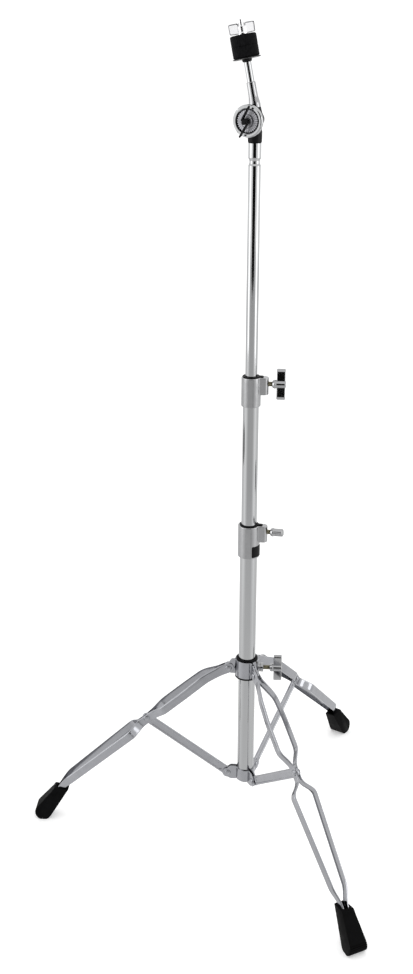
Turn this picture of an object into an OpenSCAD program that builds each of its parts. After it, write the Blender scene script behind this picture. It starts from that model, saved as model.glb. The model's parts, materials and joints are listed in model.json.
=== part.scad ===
// Straight cymbal stand: double-braced folding tripod, three-stage column
// with two clamps, and a ratchet tilter that holds a cymbal between felts.
// Millimetres, +Z up, the floor at Z = 0. Legs are numbered 1 at 180, 2 at 60
// and 3 at -60 degrees around the column.

/* [Column] */
// Outer diameter of the base tube
base_tube_d = 28.6; // [27:0.1:30]
// Outer diameter of the middle tube
mid_tube_d = 25.4; // [24:0.1:25.4]
// Outer diameter of the top tube
top_tube_d = 19.05; // [17:0.05:20]
// Wall thickness of the three tubes
tube_wall = 1.5; // [1.2:0.1:1.5]
// Height of the base tube's lower end
base_tube_z = 98; // [94:1:104]
// Height of the base clamp's top face
base_clamp_top = 583; // [560:1:600]
// Height of the middle clamp's top face
mid_clamp_top = 833; // [820:1:860]
// Height where the top tube enters the tilter
top_tube_end = 1186; // [1180:1:1220]
// Height of the middle tube's lower end
mid_tube_z = 354; // [340:1:400]
// Height of the top tube's lower end
top_tube_z = 694; // [690:1:740]

/* [Clamps] */
// Outer diameter of the base clamp
base_clamp_d = 36; // [34:0.5:37]
// Height of the base clamp
base_clamp_h = 55; // [48:1:58]
// Outer diameter of the middle clamp
mid_clamp_d = 31; // [30:0.2:33]
// Height of the middle clamp
mid_clamp_h = 47; // [40:1:48]
// Direction of the base clamp's bolt
base_bolt_turn = -6; // [-60:1:60]
// Direction of the middle clamp's bolt
mid_bolt_turn = -2; // [-60:1:60]
// Reach of the base clamp's boss from the column's axis
base_boss_reach = 30.5; // [28:0.5:32]
// Reach of the middle clamp's boss from the column's axis
mid_boss_reach = 27.5; // [26:0.5:30]
// Height of a clamp's boss
boss_h = 28; // [25:1:34]
// Distance of a clamp's bolt below its top face
bolt_drop = 11; // [9:0.5:13]

/* [T-bolts] */
// Thread diameter of the clamp bolts
bolt_d = 8; // [6:0.5:8]
// Width of the wings, tip to tip
wing_span = 49; // [40:1:56]
// Length of the wings along the bolt
wing_w = 13.8; // [10:0.2:16]
// Thickness of the wings
wing_th = 7; // [6:0.5:10]

/* [Tripod] */
// Distance of the upper and lower leg pivots from the column's axis
pivot_r = 31; // [29:1:34]
// Height of the upper leg pivots
upper_pivot_z = 317; // [310:1:325]
// Height of the lower brace pivots
lower_pivot_z = 107; // [104:1:112]
// Distance of the brace joint from the column's axis
joint_r = 173; // [165:1:180]
// Height of the collar's lower face
collar_z = 305; // [302:1:307]
// Height of the collar
collar_h = 31; // [28:1:34]
// Knee of the leg, as distance from the axis and height
leg_knee = [72, 298];
// Point where the leg bends down into its foot
leg_ankle = [316, 79.5];
// End of the leg strips inside the foot
leg_toe = [345, 38];
// Height of a strip's web
web_h = 15; // [13:0.5:18]
// Sheet thickness of the leg strips
strip_th = 1.8; // [1.5:0.1:2]
// Depth of a strip's flanges
flange_d = 3; // [2.5:0.5:6]
// Half width of the upper loop
upper_bulge = 18; // [16:0.5:23]
// Half width of the lower loop
lower_bulge = 21.5; // [18:0.5:25]
// Height of a brace bar
brace_h = 16; // [14:1:17]
// Thickness of a brace bar
brace_th = 4; // [3:0.5:4]

/* [Feet] */
// Distance of the foot's contact patch from the column's axis
foot_r = 362; // [358:1:368]
// Radius of the foot's sole
foot_sole_r = 15; // [13:1:16]
// Half width of the foot at its top
foot_top_w = 10; // [10:0.5:13]
// Half width of the foot at its sole
foot_sole_w = 15; // [14:0.5:18]

/* [Tilter] */
// Height of the tilter's hinge
tilt_z = 1218; // [1210:1:1230]
// Direction that the tilter's face looks in
tilt_turn = -112; // [-180:1:180]
// Lean of the cymbal rod to the left of the tilter's face
tilt_lean = 12; // [0:1:40]
// Diameter of the ratchet cup
cup_d = 46; // [44:1:50]
// Diameter of the tilter's bolt
tilter_bolt_d = 8; // [6:0.5:8]

/* [Cymbal seat] */
// Diameter of the cymbal rod
rod_d = 10.8; // [10:0.2:12]
// Diameter of the rod's threaded end
stud_d = 8; // [6:0.5:8]
// Distance of the stud's tip from the tilter's hinge
stud_tip = 138; // [132:0.5:145]
// Distance of the cup washer's seat from the tilter's hinge
seat_s = 80; // [76:0.5:85]
// Diameter of the felts
felt_d = 38; // [34:1:40]
// Thickness of one felt
felt_h = 15.3; // [12:0.1:17]
// Outer diameter of the sleeve through the felts
sleeve_d = 10.6; // [10:0.2:11.5]

/* [Hidden] */

$fn = 64;
fit = 0.05;                          // radial clearance of running fits
soft = 0.3;                          // clearance around felt and rubber
leg_turn = [180, 60, -60];           // directions of the three legs
joint_z = (upper_pivot_z + lower_pivot_z) / 2;
base_bore_r = base_tube_d / 2 - tube_wall;
mid_bore_r = mid_tube_d / 2 - tube_wall;
top_bore_r = top_tube_d / 2 - tube_wall;
bolt_r = bolt_d / 2;
chrome = "silver";
black = "#202022";

// ---- Foot outline, in the leg's plane: [distance from the axis, height] ----
foot_c = [foot_r, foot_sole_r - 1];  // centre of the sole's round
foot_in = [316, 60];                 // inner corner of the foot's top
foot_out = [340, 63];                // outer corner of the foot's top
foot_reach = foot_c[0] + foot_sole_r;
sole_reach = foot_c[0] + foot_sole_r * cos(60);
// The column stands off the origin, so that the origin is the middle of the
// rectangle that the three feet fill.
axis_x = (foot_reach - (sole_reach * cos(60) + foot_sole_w * sin(60)) - 4.2) / 2;

// Direction, from the centre of circle (c, r), of the point where the line
// from p touches it; side is 1 or -1.
function touch(p, c, r, side) =
    atan2(p[1] - c[1], p[0] - c[0]) + side * acos(r / norm(c - p));

// ---- Placing helpers ----
module at_column(z = 0) {
    translate([axis_x, 0, z]) children();
}

module toward(turn, z = 0) {
    at_column(z) rotate([0, 0, turn]) children();
}

// Child 2D shape drawn as [distance, height], as thick as given, centred.
module leg_slab(thick) {
    translate([0, thick / 2, 0]) rotate([90, 0, 0]) linear_extrude(thick) children();
}

// Cylinder along the leg's cross direction, centred on the leg's plane.
module cross_cylinder(r, z, radius, length) {
    translate([r, length / 2, z]) rotate([90, 0, 0]) cylinder(h = length, r = radius);
}

module tube(z0, z1, r_out, r_in) {
    difference() {
        translate([0, 0, z0]) cylinder(h = z1 - z0, r = r_out);
        translate([0, 0, z0 - 1]) cylinder(h = z1 - z0 + 2, r = r_in);
    }
}

// ---- Column tubes ----
clamp_seat = 22;                     // depth of a bushing in its clamp
base_tube_top = base_clamp_top - clamp_seat;
mid_tube_top = mid_clamp_top - clamp_seat;
groove_z = 1155;                     // crimp groove in the top tube
groove_h = 8;

module base_tube() {
    color(chrome) at_column() tube(base_tube_z, base_tube_top, base_tube_d / 2, base_bore_r);
}

module mid_tube() {
    color(chrome) at_column() tube(mid_tube_z, mid_tube_top, mid_tube_d / 2, mid_bore_r);
}

module top_tube() {
    swage_r = top_tube_d / 2 + 0.35;
    groove_r = top_tube_d / 2 - 1;
    color(chrome) at_column() union() {
        tube(top_tube_z, groove_z, top_tube_d / 2, top_bore_r);
        tube(groove_z, groove_z + groove_h, groove_r, groove_r - tube_wall);
        tube(groove_z + groove_h, top_tube_end, swage_r, top_bore_r);
        tube(top_tube_end, top_tube_end + 10, top_tube_d / 2 - 1.2, top_bore_r);
    }
}

module base_end_plug() {
    plug_h = 4;
    color(black) at_column() union() {
        translate([0, 0, base_tube_z - plug_h]) cylinder(h = plug_h - fit, r = base_tube_d / 2 - 0.5);
        translate([0, 0, base_tube_z - plug_h]) cylinder(h = 12, r = base_bore_r - fit);
    }
}

// Ring that guides the lower end of an inner tube: flange and spigot.
module glide(z, flange_r, spigot_r, hole_r) {
    difference() {
        union() {
            translate([0, 0, z - 10]) cylinder(h = 10 - fit, r = flange_r);
            translate([0, 0, z - 10]) cylinder(h = 18, r = spigot_r);
        }
        translate([0, 0, z - 11]) cylinder(h = 20, r = hole_r);
    }
}

module mid_glide() {
    color(black) at_column() glide(mid_tube_z, base_bore_r - fit, mid_bore_r - fit, 8);
}

module top_glide() {
    color(black) at_column() glide(top_tube_z, mid_bore_r - fit, top_bore_r - fit, 5);
}

// ---- Clamps ----
boss_r = 7.5;                        // half width of a clamp's boss

// Ring round the tube with a rounded boss along +X for the bolt.
module clamp_body(r_out, r_bore, h, boss_reach) {
    edge = 1.5;
    difference() {
        union() {
            translate([0, 0, edge]) cylinder(h = h - edge, r = r_out);
            cylinder(h = edge, r1 = r_out - edge, r2 = r_out);
            translate([0, 0, h - boss_h]) linear_extrude(boss_h) {
                translate([0, -boss_r]) square([boss_reach - boss_r, 2 * boss_r]);
                translate([boss_reach - boss_r, 0]) circle(r = boss_r);
            }
        }
        translate([0, 0, -1]) cylinder(h = h + 2, r = r_bore);
        translate([0, 0, h - bolt_drop]) rotate([0, 90, 0])
            cylinder(h = boss_reach + 1, r = bolt_r + fit);
    }
}

// Split-free nylon bushing with a collar on the clamp's top and a key over its boss.
module clamp_bushing(r_out, r_in, key_reach) {
    lip_h = 1.5;
    difference() {
        union() {
            translate([0, 0, fit - clamp_seat]) cylinder(h = clamp_seat, r = r_out - fit);
            translate([0, 0, fit]) cylinder(h = lip_h, r = r_out + 0.9);
            translate([0, -3.5, fit]) cube([key_reach, 7, lip_h]);
        }
        translate([0, 0, -clamp_seat - 1]) cylinder(h = clamp_seat + 4, r = r_in + fit);
    }
}

// T-shaped wing bolt along +X. The wings start at wing_x; turn lays them over.
module t_bolt(tip_x, wing_x, turn) {
    neck_l = 6;
    hub_r = 6.2;
    panel_in = 0.8;
    panel_l = 13;
    margin = 1;
    rotate([turn, 0, 0]) difference() {
        union() {
            translate([tip_x, 0, 0]) rotate([0, 90, 0]) cylinder(h = wing_x - tip_x, r = bolt_r);
            translate([wing_x - neck_l, 0, 0]) rotate([0, 90, 0]) cylinder(h = 3, r1 = bolt_r, r2 = hub_r + 1);
            translate([wing_x - 3, 0, 0]) rotate([0, 90, 0]) cylinder(h = 3, r1 = hub_r + 1, r2 = hub_r);
            translate([wing_x, 0, 0]) rotate([0, 90, 0]) cylinder(h = wing_w + 0.8, r = hub_r);
            translate([wing_x, -wing_th / 2, -wing_span / 2]) cube([wing_w, wing_th, wing_span]);
        }
        for (side = [-1, 1], end = [-1, 1])
            translate([wing_x + wing_w / 2, side * wing_th / 2, end * (wing_span / 2 - panel_l / 2 - 4)])
                cube([wing_w - 2 * margin, 2 * panel_in, panel_l], center = true);
    }
}

module base_clamp() {
    color(chrome) toward(base_bolt_turn, base_clamp_top - base_clamp_h)
        clamp_body(base_clamp_d / 2, base_tube_d / 2 + fit, base_clamp_h, base_boss_reach);
}

module mid_clamp() {
    color(chrome) toward(mid_bolt_turn, mid_clamp_top - mid_clamp_h)
        clamp_body(mid_clamp_d / 2, mid_tube_d / 2 + fit, mid_clamp_h, mid_boss_reach);
}

module base_bushing() {
    color(black) toward(base_bolt_turn, base_clamp_top)
        clamp_bushing(base_tube_d / 2, mid_tube_d / 2, base_boss_reach - boss_r);
}

module mid_bushing() {
    color(black) toward(mid_bolt_turn, mid_clamp_top)
        clamp_bushing(mid_tube_d / 2, top_tube_d / 2, mid_boss_reach - boss_r);
}

module base_t_bolt() {
    color(chrome) toward(base_bolt_turn, base_clamp_top - bolt_drop)
        t_bolt(base_tube_d / 2 + 2 * fit, 42, 65);
}

module mid_t_bolt() {
    color(chrome) toward(mid_bolt_turn, mid_clamp_top - bolt_drop)
        t_bolt(mid_tube_d / 2 + 2 * fit, 39.6, -7);
}

// Blank curved badge on the base clamp, below its boss.
module clamp_badge() {
    badge_z = 2.5;
    badge_h = 19;
    badge_th = 0.8;
    badge_start = -66;
    badge_angle = 64;
    r_in = base_clamp_d / 2 + fit;
    color(black) toward(base_bolt_turn + badge_start, base_clamp_top - base_clamp_h + badge_z)
        rotate_extrude(angle = badge_angle)
            translate([r_in, 0]) square([badge_th, badge_h]);
}

// ---- Tripod: formed plates ----
ear_r = 9;                           // round of an ear about its pivot
pin_r = 3;
collar_gap = 1;                      // between the two ears of the collar
lower_gap = brace_th + 0.2;          // between the two ears that hold a brace
plate_th = 2.2;
bush_r = base_tube_d / 2 + 3.2;      // outside of the collar's bushing

// One formed plate from leg a to leg b: a third of a ring with an ear at
// each end. Heights z0 to z1 for the ring and e0 to e1 for its ears.
module formed_plate(a, b, r_in, gap, z0, z1, e0, e1, pivot_z) {
    r_out = r_in + plate_th;
    mid = (a + b) / 2;
    union() {
        difference() {
            translate([0, 0, z0]) linear_extrude(z1 - z0) intersection() {
                difference() {
                    circle(r = r_out);
                    circle(r = r_in);
                }
                rotate(mid) polygon([[0, 0], [60, -60 * tan(60)], [120, 0], [60, 60 * tan(60)]]);
            }
            for (t = [a, b])
                rotate([0, 0, t]) translate([0, -gap / 2, z0 - 1]) cube([r_out + 2, gap, z1 - z0 + 2]);
        }
        for (t = [[a, 1], [b, -1]])
            rotate([0, 0, t[0]]) ear(r_in + plate_th / 2, t[1] * (gap + plate_th) / 2, e0, e1, pivot_z);
    }
}

// Ear plate in a leg's plane, from radius r0 out round the pivot's hole.
module ear(r0, offset_y, e0, e1, pivot_z) {
    difference() {
        translate([0, offset_y, 0]) leg_slab(plate_th) union() {
            translate([r0, e0]) square([pivot_r - r0, e1 - e0]);
            translate([pivot_r, pivot_z - ear_r + 2]) square([ear_r - 2, 2 * ear_r - 4]);
            translate([pivot_r, pivot_z]) circle(r = ear_r);
            translate([pivot_r - 1, e0]) square([ear_r - 1, pivot_z - e0]);
        }
        cross_cylinder(pivot_r, pivot_z, pin_r + fit, 30);
    }
}

plate_from = [-60, 60, 180];         // leg at the start of each formed plate

module collar_plate(k) {
    color(chrome) at_column() difference() {
        formed_plate(plate_from[k], plate_from[k] + 120, bush_r + fit, collar_gap, collar_z,
            collar_z + collar_h, collar_z + 2, collar_z + collar_h - 3, upper_pivot_z);
        if (k == 0)
            translate([0, 0, collar_bolt_z]) rotate([0, 90, 0]) cylinder(h = 40, r = bolt_r + 1);
    }
}

module lower_plate(k) {
    color(chrome) at_column() formed_plate(plate_from[k], plate_from[k] + 120,
        base_tube_d / 2 + fit, lower_gap, lower_pivot_z - 10, lower_pivot_z + 12,
        lower_pivot_z - 12, lower_pivot_z + 13, lower_pivot_z);
}

collar_bolt_z = collar_z + 14;       // height of the collar's T-bolt

module collar_bushing() {
    lip_r = bush_r + 0.8;
    flange_r = bush_r + plate_th + 0.4;
    color(black) at_column() difference() {
        union() {
            translate([0, 0, collar_z - 2]) cylinder(h = collar_h + 4, r = bush_r);
            translate([0, 0, collar_z - 3]) cylinder(h = 3 - fit, r = flange_r);
            translate([0, 0, collar_z + collar_h + fit]) cylinder(h = 2, r = lip_r);
        }
        translate([0, 0, collar_z - 4]) cylinder(h = collar_h + 8, r = base_tube_d / 2 + fit);
        translate([0, 0, collar_bolt_z]) rotate([0, 90, 0]) cylinder(h = 40, r = bolt_r + 0.5);
    }
}

module collar_boss() {
    face_x = bush_r + plate_th - 0.4;
    color(chrome) at_column(collar_bolt_z) difference() {
        rotate([0, 90, 0]) cylinder(h = 28, r = 8);
        rotate([0, 90, 0]) cylinder(h = 30, r = bolt_r + fit);
        translate([0, 0, -15]) cylinder(h = 30, r = face_x + 0.5);
    }
}

module collar_t_bolt() {
    color(chrome) at_column(collar_bolt_z) t_bolt(base_tube_d / 2 + 2 * fit, 45.4, 0);
}

// Rivet across a leg: shank and two domed heads outside the given half width.
module rivet(r, z, half_w) {
    head_h = 2;
    head_r = 5.5;
    dome_r = (head_r * head_r + head_h * head_h) / (2 * head_h);
    cross_cylinder(r, z, pin_r, 2 * half_w + 1);
    for (side = [-1, 1])
        translate([r, side * half_w, z]) rotate([-90 * side, 0, 0]) intersection() {
            translate([0, 0, head_h - dome_r]) sphere(r = dome_r);
            cylinder(h = head_h, r = head_r);
        }
}

module collar_pins() {
    strip_out = collar_gap / 2 + plate_th + 0.1 + strip_th;
    color(chrome) for (k = [0:2])
        toward(leg_turn[k]) rivet(pivot_r, upper_pivot_z, strip_out + 0.1);
}

module lower_pins() {
    color(chrome) for (k = [0:2])
        toward(leg_turn[k]) rivet(pivot_r, lower_pivot_z, lower_gap / 2 + plate_th + fit);
}

// ---- Braces ----
brace_len = norm([joint_r - pivot_r, joint_z - lower_pivot_z]);
brace_rise = atan2(joint_z - lower_pivot_z, joint_r - pivot_r);

// Flat bar with round ends and a shallow channel pressed into both faces.
module brace(k) {
    rim = 2.6;
    press = 0.9;
    color(chrome) toward(leg_turn[k]) translate([pivot_r, 0, lower_pivot_z])
        rotate([0, -brace_rise, 0]) difference() {
            leg_slab(brace_th) union() {
                translate([0, -brace_h / 2]) square([brace_len, brace_h]);
                circle(r = brace_h / 2);
                translate([brace_len, 0]) circle(r = brace_h / 2);
            }
            for (side = [-1, 1])
                translate([16, side * (brace_th / 2 - press / 2) - press / 2, rim - brace_h / 2])
                    cube([brace_len - 32, press, brace_h - 2 * rim]);
            cross_cylinder(0, 0, pin_r + fit, 20);
            cross_cylinder(brace_len, 0, pin_r + fit, 20);
        }
}

// ---- Leg strips ----
// Tables of [distance from the axis, value]; lookup() runs between the rows.
neck_in = joint_r - 10;
neck_out = joint_r + 11;
lug_w = collar_gap / 2 + plate_th + 0.1 + strip_th;
neck_w = brace_th / 2 + 0.2 + strip_th;
side_line = [
    [pivot_r, upper_pivot_z], leg_knee, [joint_r, joint_z - 3], leg_ankle, leg_toe
];
half_width = [
    [pivot_r - 12, lug_w], [pivot_r + 11, lug_w], [76, upper_bulge - 2.5], [104, upper_bulge],
    [144, upper_bulge], [neck_in, neck_w], [neck_out, neck_w], [197, lower_bulge],
    [313, 13.8], [326, 6.2], [400, 6]
];
flange = [
    [pivot_r + 8, strip_th + 0.05], [pivot_r + 15, flange_d], [neck_in - 6, flange_d],
    [neck_in, strip_th + 0.05], [neck_out, strip_th + 0.05], [neck_out + 6, flange_d],
    [313, flange_d], [326, 2.5]
];
web = [
    [pivot_r + 8, 2 * ear_r - 0.5], [pivot_r + 20, web_h + 1], [100, web_h], [310, web_h], [328, 12.5]
];

// Value of a table at x, rounded off over a stretch w.
function smooth(table, x, w) = (
    lookup(x - w / 2, table) + lookup(x - w / 4, table) + lookup(x, table)
    + lookup(x + w / 4, table) + lookup(x + w / 2, table)
) / 5;
function line_z(r) = smooth(side_line_long, r, 14);
first_slope = (leg_knee[1] - upper_pivot_z) / (leg_knee[0] - pivot_r);
last_slope = (leg_toe[1] - leg_ankle[1]) / (leg_toe[0] - leg_ankle[0]);
side_line_long = concat(
    [[pivot_r - 20, upper_pivot_z - 20 * first_slope]], side_line,
    [[leg_toe[0] + 20, leg_toe[1] + 20 * last_slope]]
);
function spread(r) = smooth(half_width, r, 8);
function slope_of_spread(r) = spread(r + 0.5) - spread(r - 0.5);
// The flanges stay clear of the collar's ears, and of the brace.
function clear_w(r) = r < 90 ? lug_w : neck_w;
function depth(r) = min(smooth(flange, r, 4), spread(r) - clear_w(r) + strip_th + 0.05);
function web_height(r) = r < pivot_r
    ? 2 * sqrt(max(ear_r * ear_r - pow(pivot_r - r, 2), 9))
    : smooth(web, r, 5);

// Section of a strip at distance r: a channel open to the leg's middle, as
// points [along the web, across the leg].
function section(r) =
    let(
        h = web_height(r) / 2,
        q = spread(r),
        th = strip_th * min(sqrt(1 + pow(slope_of_spread(r), 2)), 1.35),
        d = max(depth(r), th + 0.03),
        c = min(2.2, d / 2),
        wall = min(strip_th, h / 3)
    )
    [
        [-h, q - d], [-h, q - c], [-h + 0.3 * c, q - 0.3 * c], [-h + c, q], [h - c, q],
        [h - 0.3 * c, q - 0.3 * c], [h, q - c], [h, q - d],
        [h - wall, q - d], [h - wall, q - th], [-h + wall, q - th], [-h + wall, q - d]
    ];

// Section placed in the leg's frame; side mirrors it to the other strip.
function placed_section(r, side) =
    let(
        g = line_z(r + 0.5) - line_z(r - 0.5),
        n = [-g, 1] / norm([1, g]),
        z = line_z(r)
    )
    [for (p = section(r)) [r + n[0] * p[0], side * p[1], z + n[1] * p[0]]];

lug_end = pivot_r - ear_r + 0.8;
stations = concat(
    [for (r = [lug_end : 1.6 : pivot_r]) r], [for (r = [pivot_r + 3 : 4 : 80]) r],
    [for (r = [87 : 9 : 140]) r], [for (r = [144 : 3 : 207]) r], [for (r = [216 : 12 : 300]) r],
    [for (r = [303 : 3.5 : leg_toe[0]]) r]
);

module strip_body(side) {
    rings = [for (r = stations) placed_section(r, side)];
    n = len(rings[0]);
    m = len(rings);
    pts = [for (ring = rings) for (p = ring) p];
    walls = [
        for (i = [0 : m - 2], j = [0 : n - 1])
            let(a = i * n + j, b = i * n + (j + 1) % n)
            side > 0 ? [a, a + n, b + n, b] : [a, b, b + n, a + n]
    ];
    first = [for (j = [0 : n - 1]) side > 0 ? j : n - 1 - j];
    last = [for (j = [0 : n - 1]) (m - 1) * n + (side > 0 ? n - 1 - j : j)];
    polyhedron(points = pts, faces = concat(walls, [first], [last]), convexity = 6);
}

module leg_strip(k, side) {
    color(chrome) toward(leg_turn[k]) difference() {
        strip_body(side);
        cross_cylinder(pivot_r, upper_pivot_z, pin_r + fit, 40);
        cross_cylinder(joint_r, joint_z, pin_r + fit, 40);
    }
}

module leg_rivet(k) {
    color(chrome) toward(leg_turn[k]) rivet(joint_r, joint_z, neck_w + fit);
}

// ---- Feet ----
module foot_outline() {
    first = touch(foot_out, foot_c, foot_sole_r, -1);
    last = touch(foot_in, foot_c, foot_sole_r, 1) - 360;
    turns = concat([first], [for (a = [30 : -10 : -130]) a], [last]);
    polygon(concat([foot_in, foot_out], [for (a = turns) foot_c + foot_sole_r * [cos(a), sin(a)]]));
}

// Rubber boot: wedge with a round sole, wider at the floor, with a flat
// contact patch and a socket for the ends of the two strips.
module foot(k) {
    top_mid = (foot_in + foot_out) / 2;
    fall = atan2(foot_c[1] - top_mid[1], foot_c[0] - top_mid[0]);
    length = norm(foot_c - top_mid);
    over = 20;
    top_w = foot_top_w - (foot_sole_w - foot_top_w) * over / length;
    sole_w = foot_sole_w + (foot_sole_w - foot_top_w) * over / length;
    toe_run = leg_toe - leg_ankle;
    pocket = 6.9;
    color(black) toward(leg_turn[k]) difference() {
        intersection() {
            leg_slab(2 * foot_sole_w + 8) foot_outline();
            translate([top_mid[0], 0, top_mid[1]]) rotate([0, -fall, 0])
                translate([0, 0, -60]) linear_extrude(120)
                    polygon([
                        [-over, -top_w], [length + over, -sole_w],
                        [length + over, sole_w], [-over, top_w]
                    ]);
        }
        translate([foot_r - 60, -40, -20]) cube([120, 80, 20]);
        translate([leg_ankle[0], 0, leg_ankle[1]])
            rotate([0, -atan2(toe_run[1], toe_run[0]), 0])
                translate([0, -pocket, -pocket]) cube([norm(toe_run) + 5, 2 * pocket, 2 * pocket]);
    }
}

// ---- Tilter ----
// The hinge runs along n, out of the tilter's face; children are drawn with
// the hinge along +X, the face at +X, and +Y to the right of the face.
eye_back = -10.5;                    // rear face of the arm's eye
mate = -3.5;                         // where the arm meets the socket's cheek
cheek_front = 13;
cup_front = 29;
eye_r = 10.4;

module at_tilter() {
    toward(tilt_turn, tilt_z) children();
}

module hinge_cylinder(x0, x1, r1, r2) {
    translate([x0, 0, 0]) rotate([0, 90, 0]) cylinder(h = x1 - x0, r1 = r1, r2 = r2);
}

module tilter_socket() {
    drop = tilt_z - top_tube_end;
    socket_h = 15;
    color("#505054") at_tilter() difference() {
        union() {
            translate([0, 0, -drop]) cylinder(h = socket_h, r1 = 10.3, r2 = 11);
            translate([mate + 0.5, -eye_r + 0.5, -drop + 5])
                cube([cheek_front - mate - 0.5, 2 * eye_r - 1, drop - 5]);
            hinge_cylinder(mate + 0.5, cheek_front, eye_r, eye_r);
        }
        translate([0, 0, -drop - 1]) cylinder(h = 12, r = top_tube_d / 2 - 1.2 + fit);
        hinge_cylinder(-20, 20, tilter_bolt_d / 2 + fit, tilter_bolt_d / 2 + fit);
    }
}

module ratchet_cup() {
    well_r = cup_d / 2 - 5;
    rim_x = cup_front - 6;
    spring_r = 7.5;
    color(chrome) at_tilter() difference() {
        union() {
            hinge_cylinder(cheek_front + fit, rim_x, eye_r, cup_d / 2 - 1.5);
            hinge_cylinder(rim_x, cup_front - 1.5, cup_d / 2, cup_d / 2);
            hinge_cylinder(cup_front - 1.5, cup_front, cup_d / 2, cup_d / 2 - 1.5);
        }
        hinge_cylinder(cup_front - 5, cup_front + 1, well_r, well_r);
        hinge_cylinder(cheek_front + 2, cup_front, spring_r, spring_r);
        hinge_cylinder(cheek_front - 1, cup_front, tilter_bolt_d / 2 + fit, tilter_bolt_d / 2 + fit);
    }
}

// Toothed plate that stands in the cup, with a dark ring-shaped gap round it.
module ratchet_plate() {
    plate_r = cup_d / 2 - 8;
    teeth = 18;
    color("dimgray") at_tilter() difference() {
        union() {
            hinge_cylinder(cup_front - 5 + fit, cup_front - 1, plate_r, plate_r);
            hinge_cylinder(cup_front - 1, cup_front, plate_r - 1.5, plate_r - 2.5);
        }
        hinge_cylinder(0, cup_front + 1, tilter_bolt_d / 2 + fit, tilter_bolt_d / 2 + fit);
        for (i = [0 : teeth - 1])
            rotate([i * 360 / teeth, 0, 0])
                translate([cup_front - 1.6, -0.6, 9.6]) cube([3, 1.2, 7]);
    }
}

// Compression spring round the bolt, swept as one helix.
module tilter_spring() {
    coil_r = 5.8;
    wire_r = 0.7;
    turns = 3;
    sides = 6;
    steps = 16;
    x0 = cheek_front + 3;
    x1 = cup_front - 6;
    rings = [
        for (i = [0 : turns * steps])
            let(a = i * 360 / steps, x = x0 + (x1 - x0) * i / (turns * steps))
            [
                for (j = [0 : sides - 1])
                    let(b = j * 360 / sides, rho = coil_r + wire_r * cos(b))
                    [x + wire_r * sin(b), rho * cos(a), rho * sin(a)]
            ]
    ];
    n = len(rings);
    faces = concat(
        [
            for (i = [0 : n - 2], j = [0 : sides - 1])
                let(a = i * sides + j, b = i * sides + (j + 1) % sides)
                [a, b, b + sides, a + sides]
        ],
        [[for (j = [0 : sides - 1]) sides - 1 - j]],
        [[for (j = [0 : sides - 1]) (n - 1) * sides + j]]
    );
    color("gray") at_tilter() polyhedron(points = [for (r = rings) for (p = r) p], faces = faces);
}

module tilter_bolt() {
    color(chrome) at_tilter() union() {
        hinge_cylinder(eye_back - 0.1, cup_front + 14, tilter_bolt_d / 2, tilter_bolt_d / 2);
        translate([eye_back - 5, 0, 0]) rotate([0, 90, 0]) cylinder(h = 4.9, r = 7.5, $fn = 6);
    }
}

module tilter_washer() {
    color(chrome) at_tilter() difference() {
        hinge_cylinder(cup_front + 0.1, cup_front + 1.5, 8.5, 8.5);
        hinge_cylinder(cup_front - 1, cup_front + 3, tilter_bolt_d / 2 + fit, tilter_bolt_d / 2 + fit);
    }
}

module tilter_wing_nut() {
    wing_turn = -17;
    hub_x = cup_front + 1.6;
    wing_th = 2.6;
    reach = 24;
    color(chrome) at_tilter() rotate([wing_turn, 0, 0]) difference() {
        union() {
            hinge_cylinder(hub_x, hub_x + 11, 6.8, 5.4);
            translate([0, wing_th / 2, 0]) rotate([90, 0, 0]) linear_extrude(wing_th)
                polygon([
                    [hub_x + 1, 0], [hub_x + 6, reach - 1], [hub_x + 7.5, reach], [hub_x + 11, reach],
                    [hub_x + 12, reach - 1], [hub_x + 13, 0], [hub_x + 12, 1 - reach],
                    [hub_x + 11, -reach], [hub_x + 7.5, -reach], [hub_x + 6, 1 - reach]
                ]);
        }
        hinge_cylinder(hub_x - 1, hub_x + 15, tilter_bolt_d / 2 + fit, tilter_bolt_d / 2 + fit);
    }
}

// Frame of the arm: +Z along the cymbal rod, +X out of the tilter's face.
arm_x = (eye_back + mate) / 2;       // the arm lies behind the column's axis

module at_arm() {
    at_tilter() rotate([tilt_lean, 0, 0]) children();
}

module arm_ring(s0, s1, r1, r2) {
    translate([arm_x, 0, s0]) cylinder(h = s1 - s0, r1 = r1, r2 = r2);
}

module tilter_arm() {
    neck_0 = 12;
    neck_1 = 20;
    neck_2 = 32;
    neck_3 = 52;
    color(chrome) at_arm() difference() {
        union() {
            hinge_cylinder(eye_back, mate, eye_r, eye_r);
            translate([eye_back, -8, 0]) cube([mate - eye_back, 16, neck_0 + 2]);
            arm_ring(neck_0, neck_1, 8.2, 8.6);
            arm_ring(neck_1, neck_2, 8.6, 6.9);
            arm_ring(neck_2, neck_3, 6.9, 6.6);
        }
        hinge_cylinder(eye_back - 5, 5, tilter_bolt_d / 2 + fit, tilter_bolt_d / 2 + fit);
        arm_ring(34, neck_3 + 1, rod_d / 2 + fit, rod_d / 2 + fit);
    }
}

module cymbal_rod() {
    color(chrome) at_arm() union() {
        arm_ring(34.1, seat_s, rod_d / 2, rod_d / 2);
        arm_ring(seat_s, stud_tip - 1, stud_d / 2, stud_d / 2);
        arm_ring(stud_tip - 1, stud_tip, stud_d / 2, stud_d / 2 - 1);
    }
}

felt_s = seat_s + 6;                 // underside of the lower felt
upper_felt_s = felt_s + felt_h + 0.4;
sleeve_top = upper_felt_s + felt_h - 0.5;

module cup_washer() {
    rim_r = 20.5;
    color(chrome) at_arm() difference() {
        union() {
            arm_ring(seat_s + fit, felt_s - 2, 6.5, 7.5);
            arm_ring(felt_s - 2.4, felt_s - 1.6, rim_r - 3, rim_r);
            arm_ring(felt_s - 1.6, felt_s - 0.4, rim_r, rim_r);
        }
        arm_ring(seat_s - 1, felt_s, stud_d / 2 + fit, stud_d / 2 + fit);
    }
}

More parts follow.
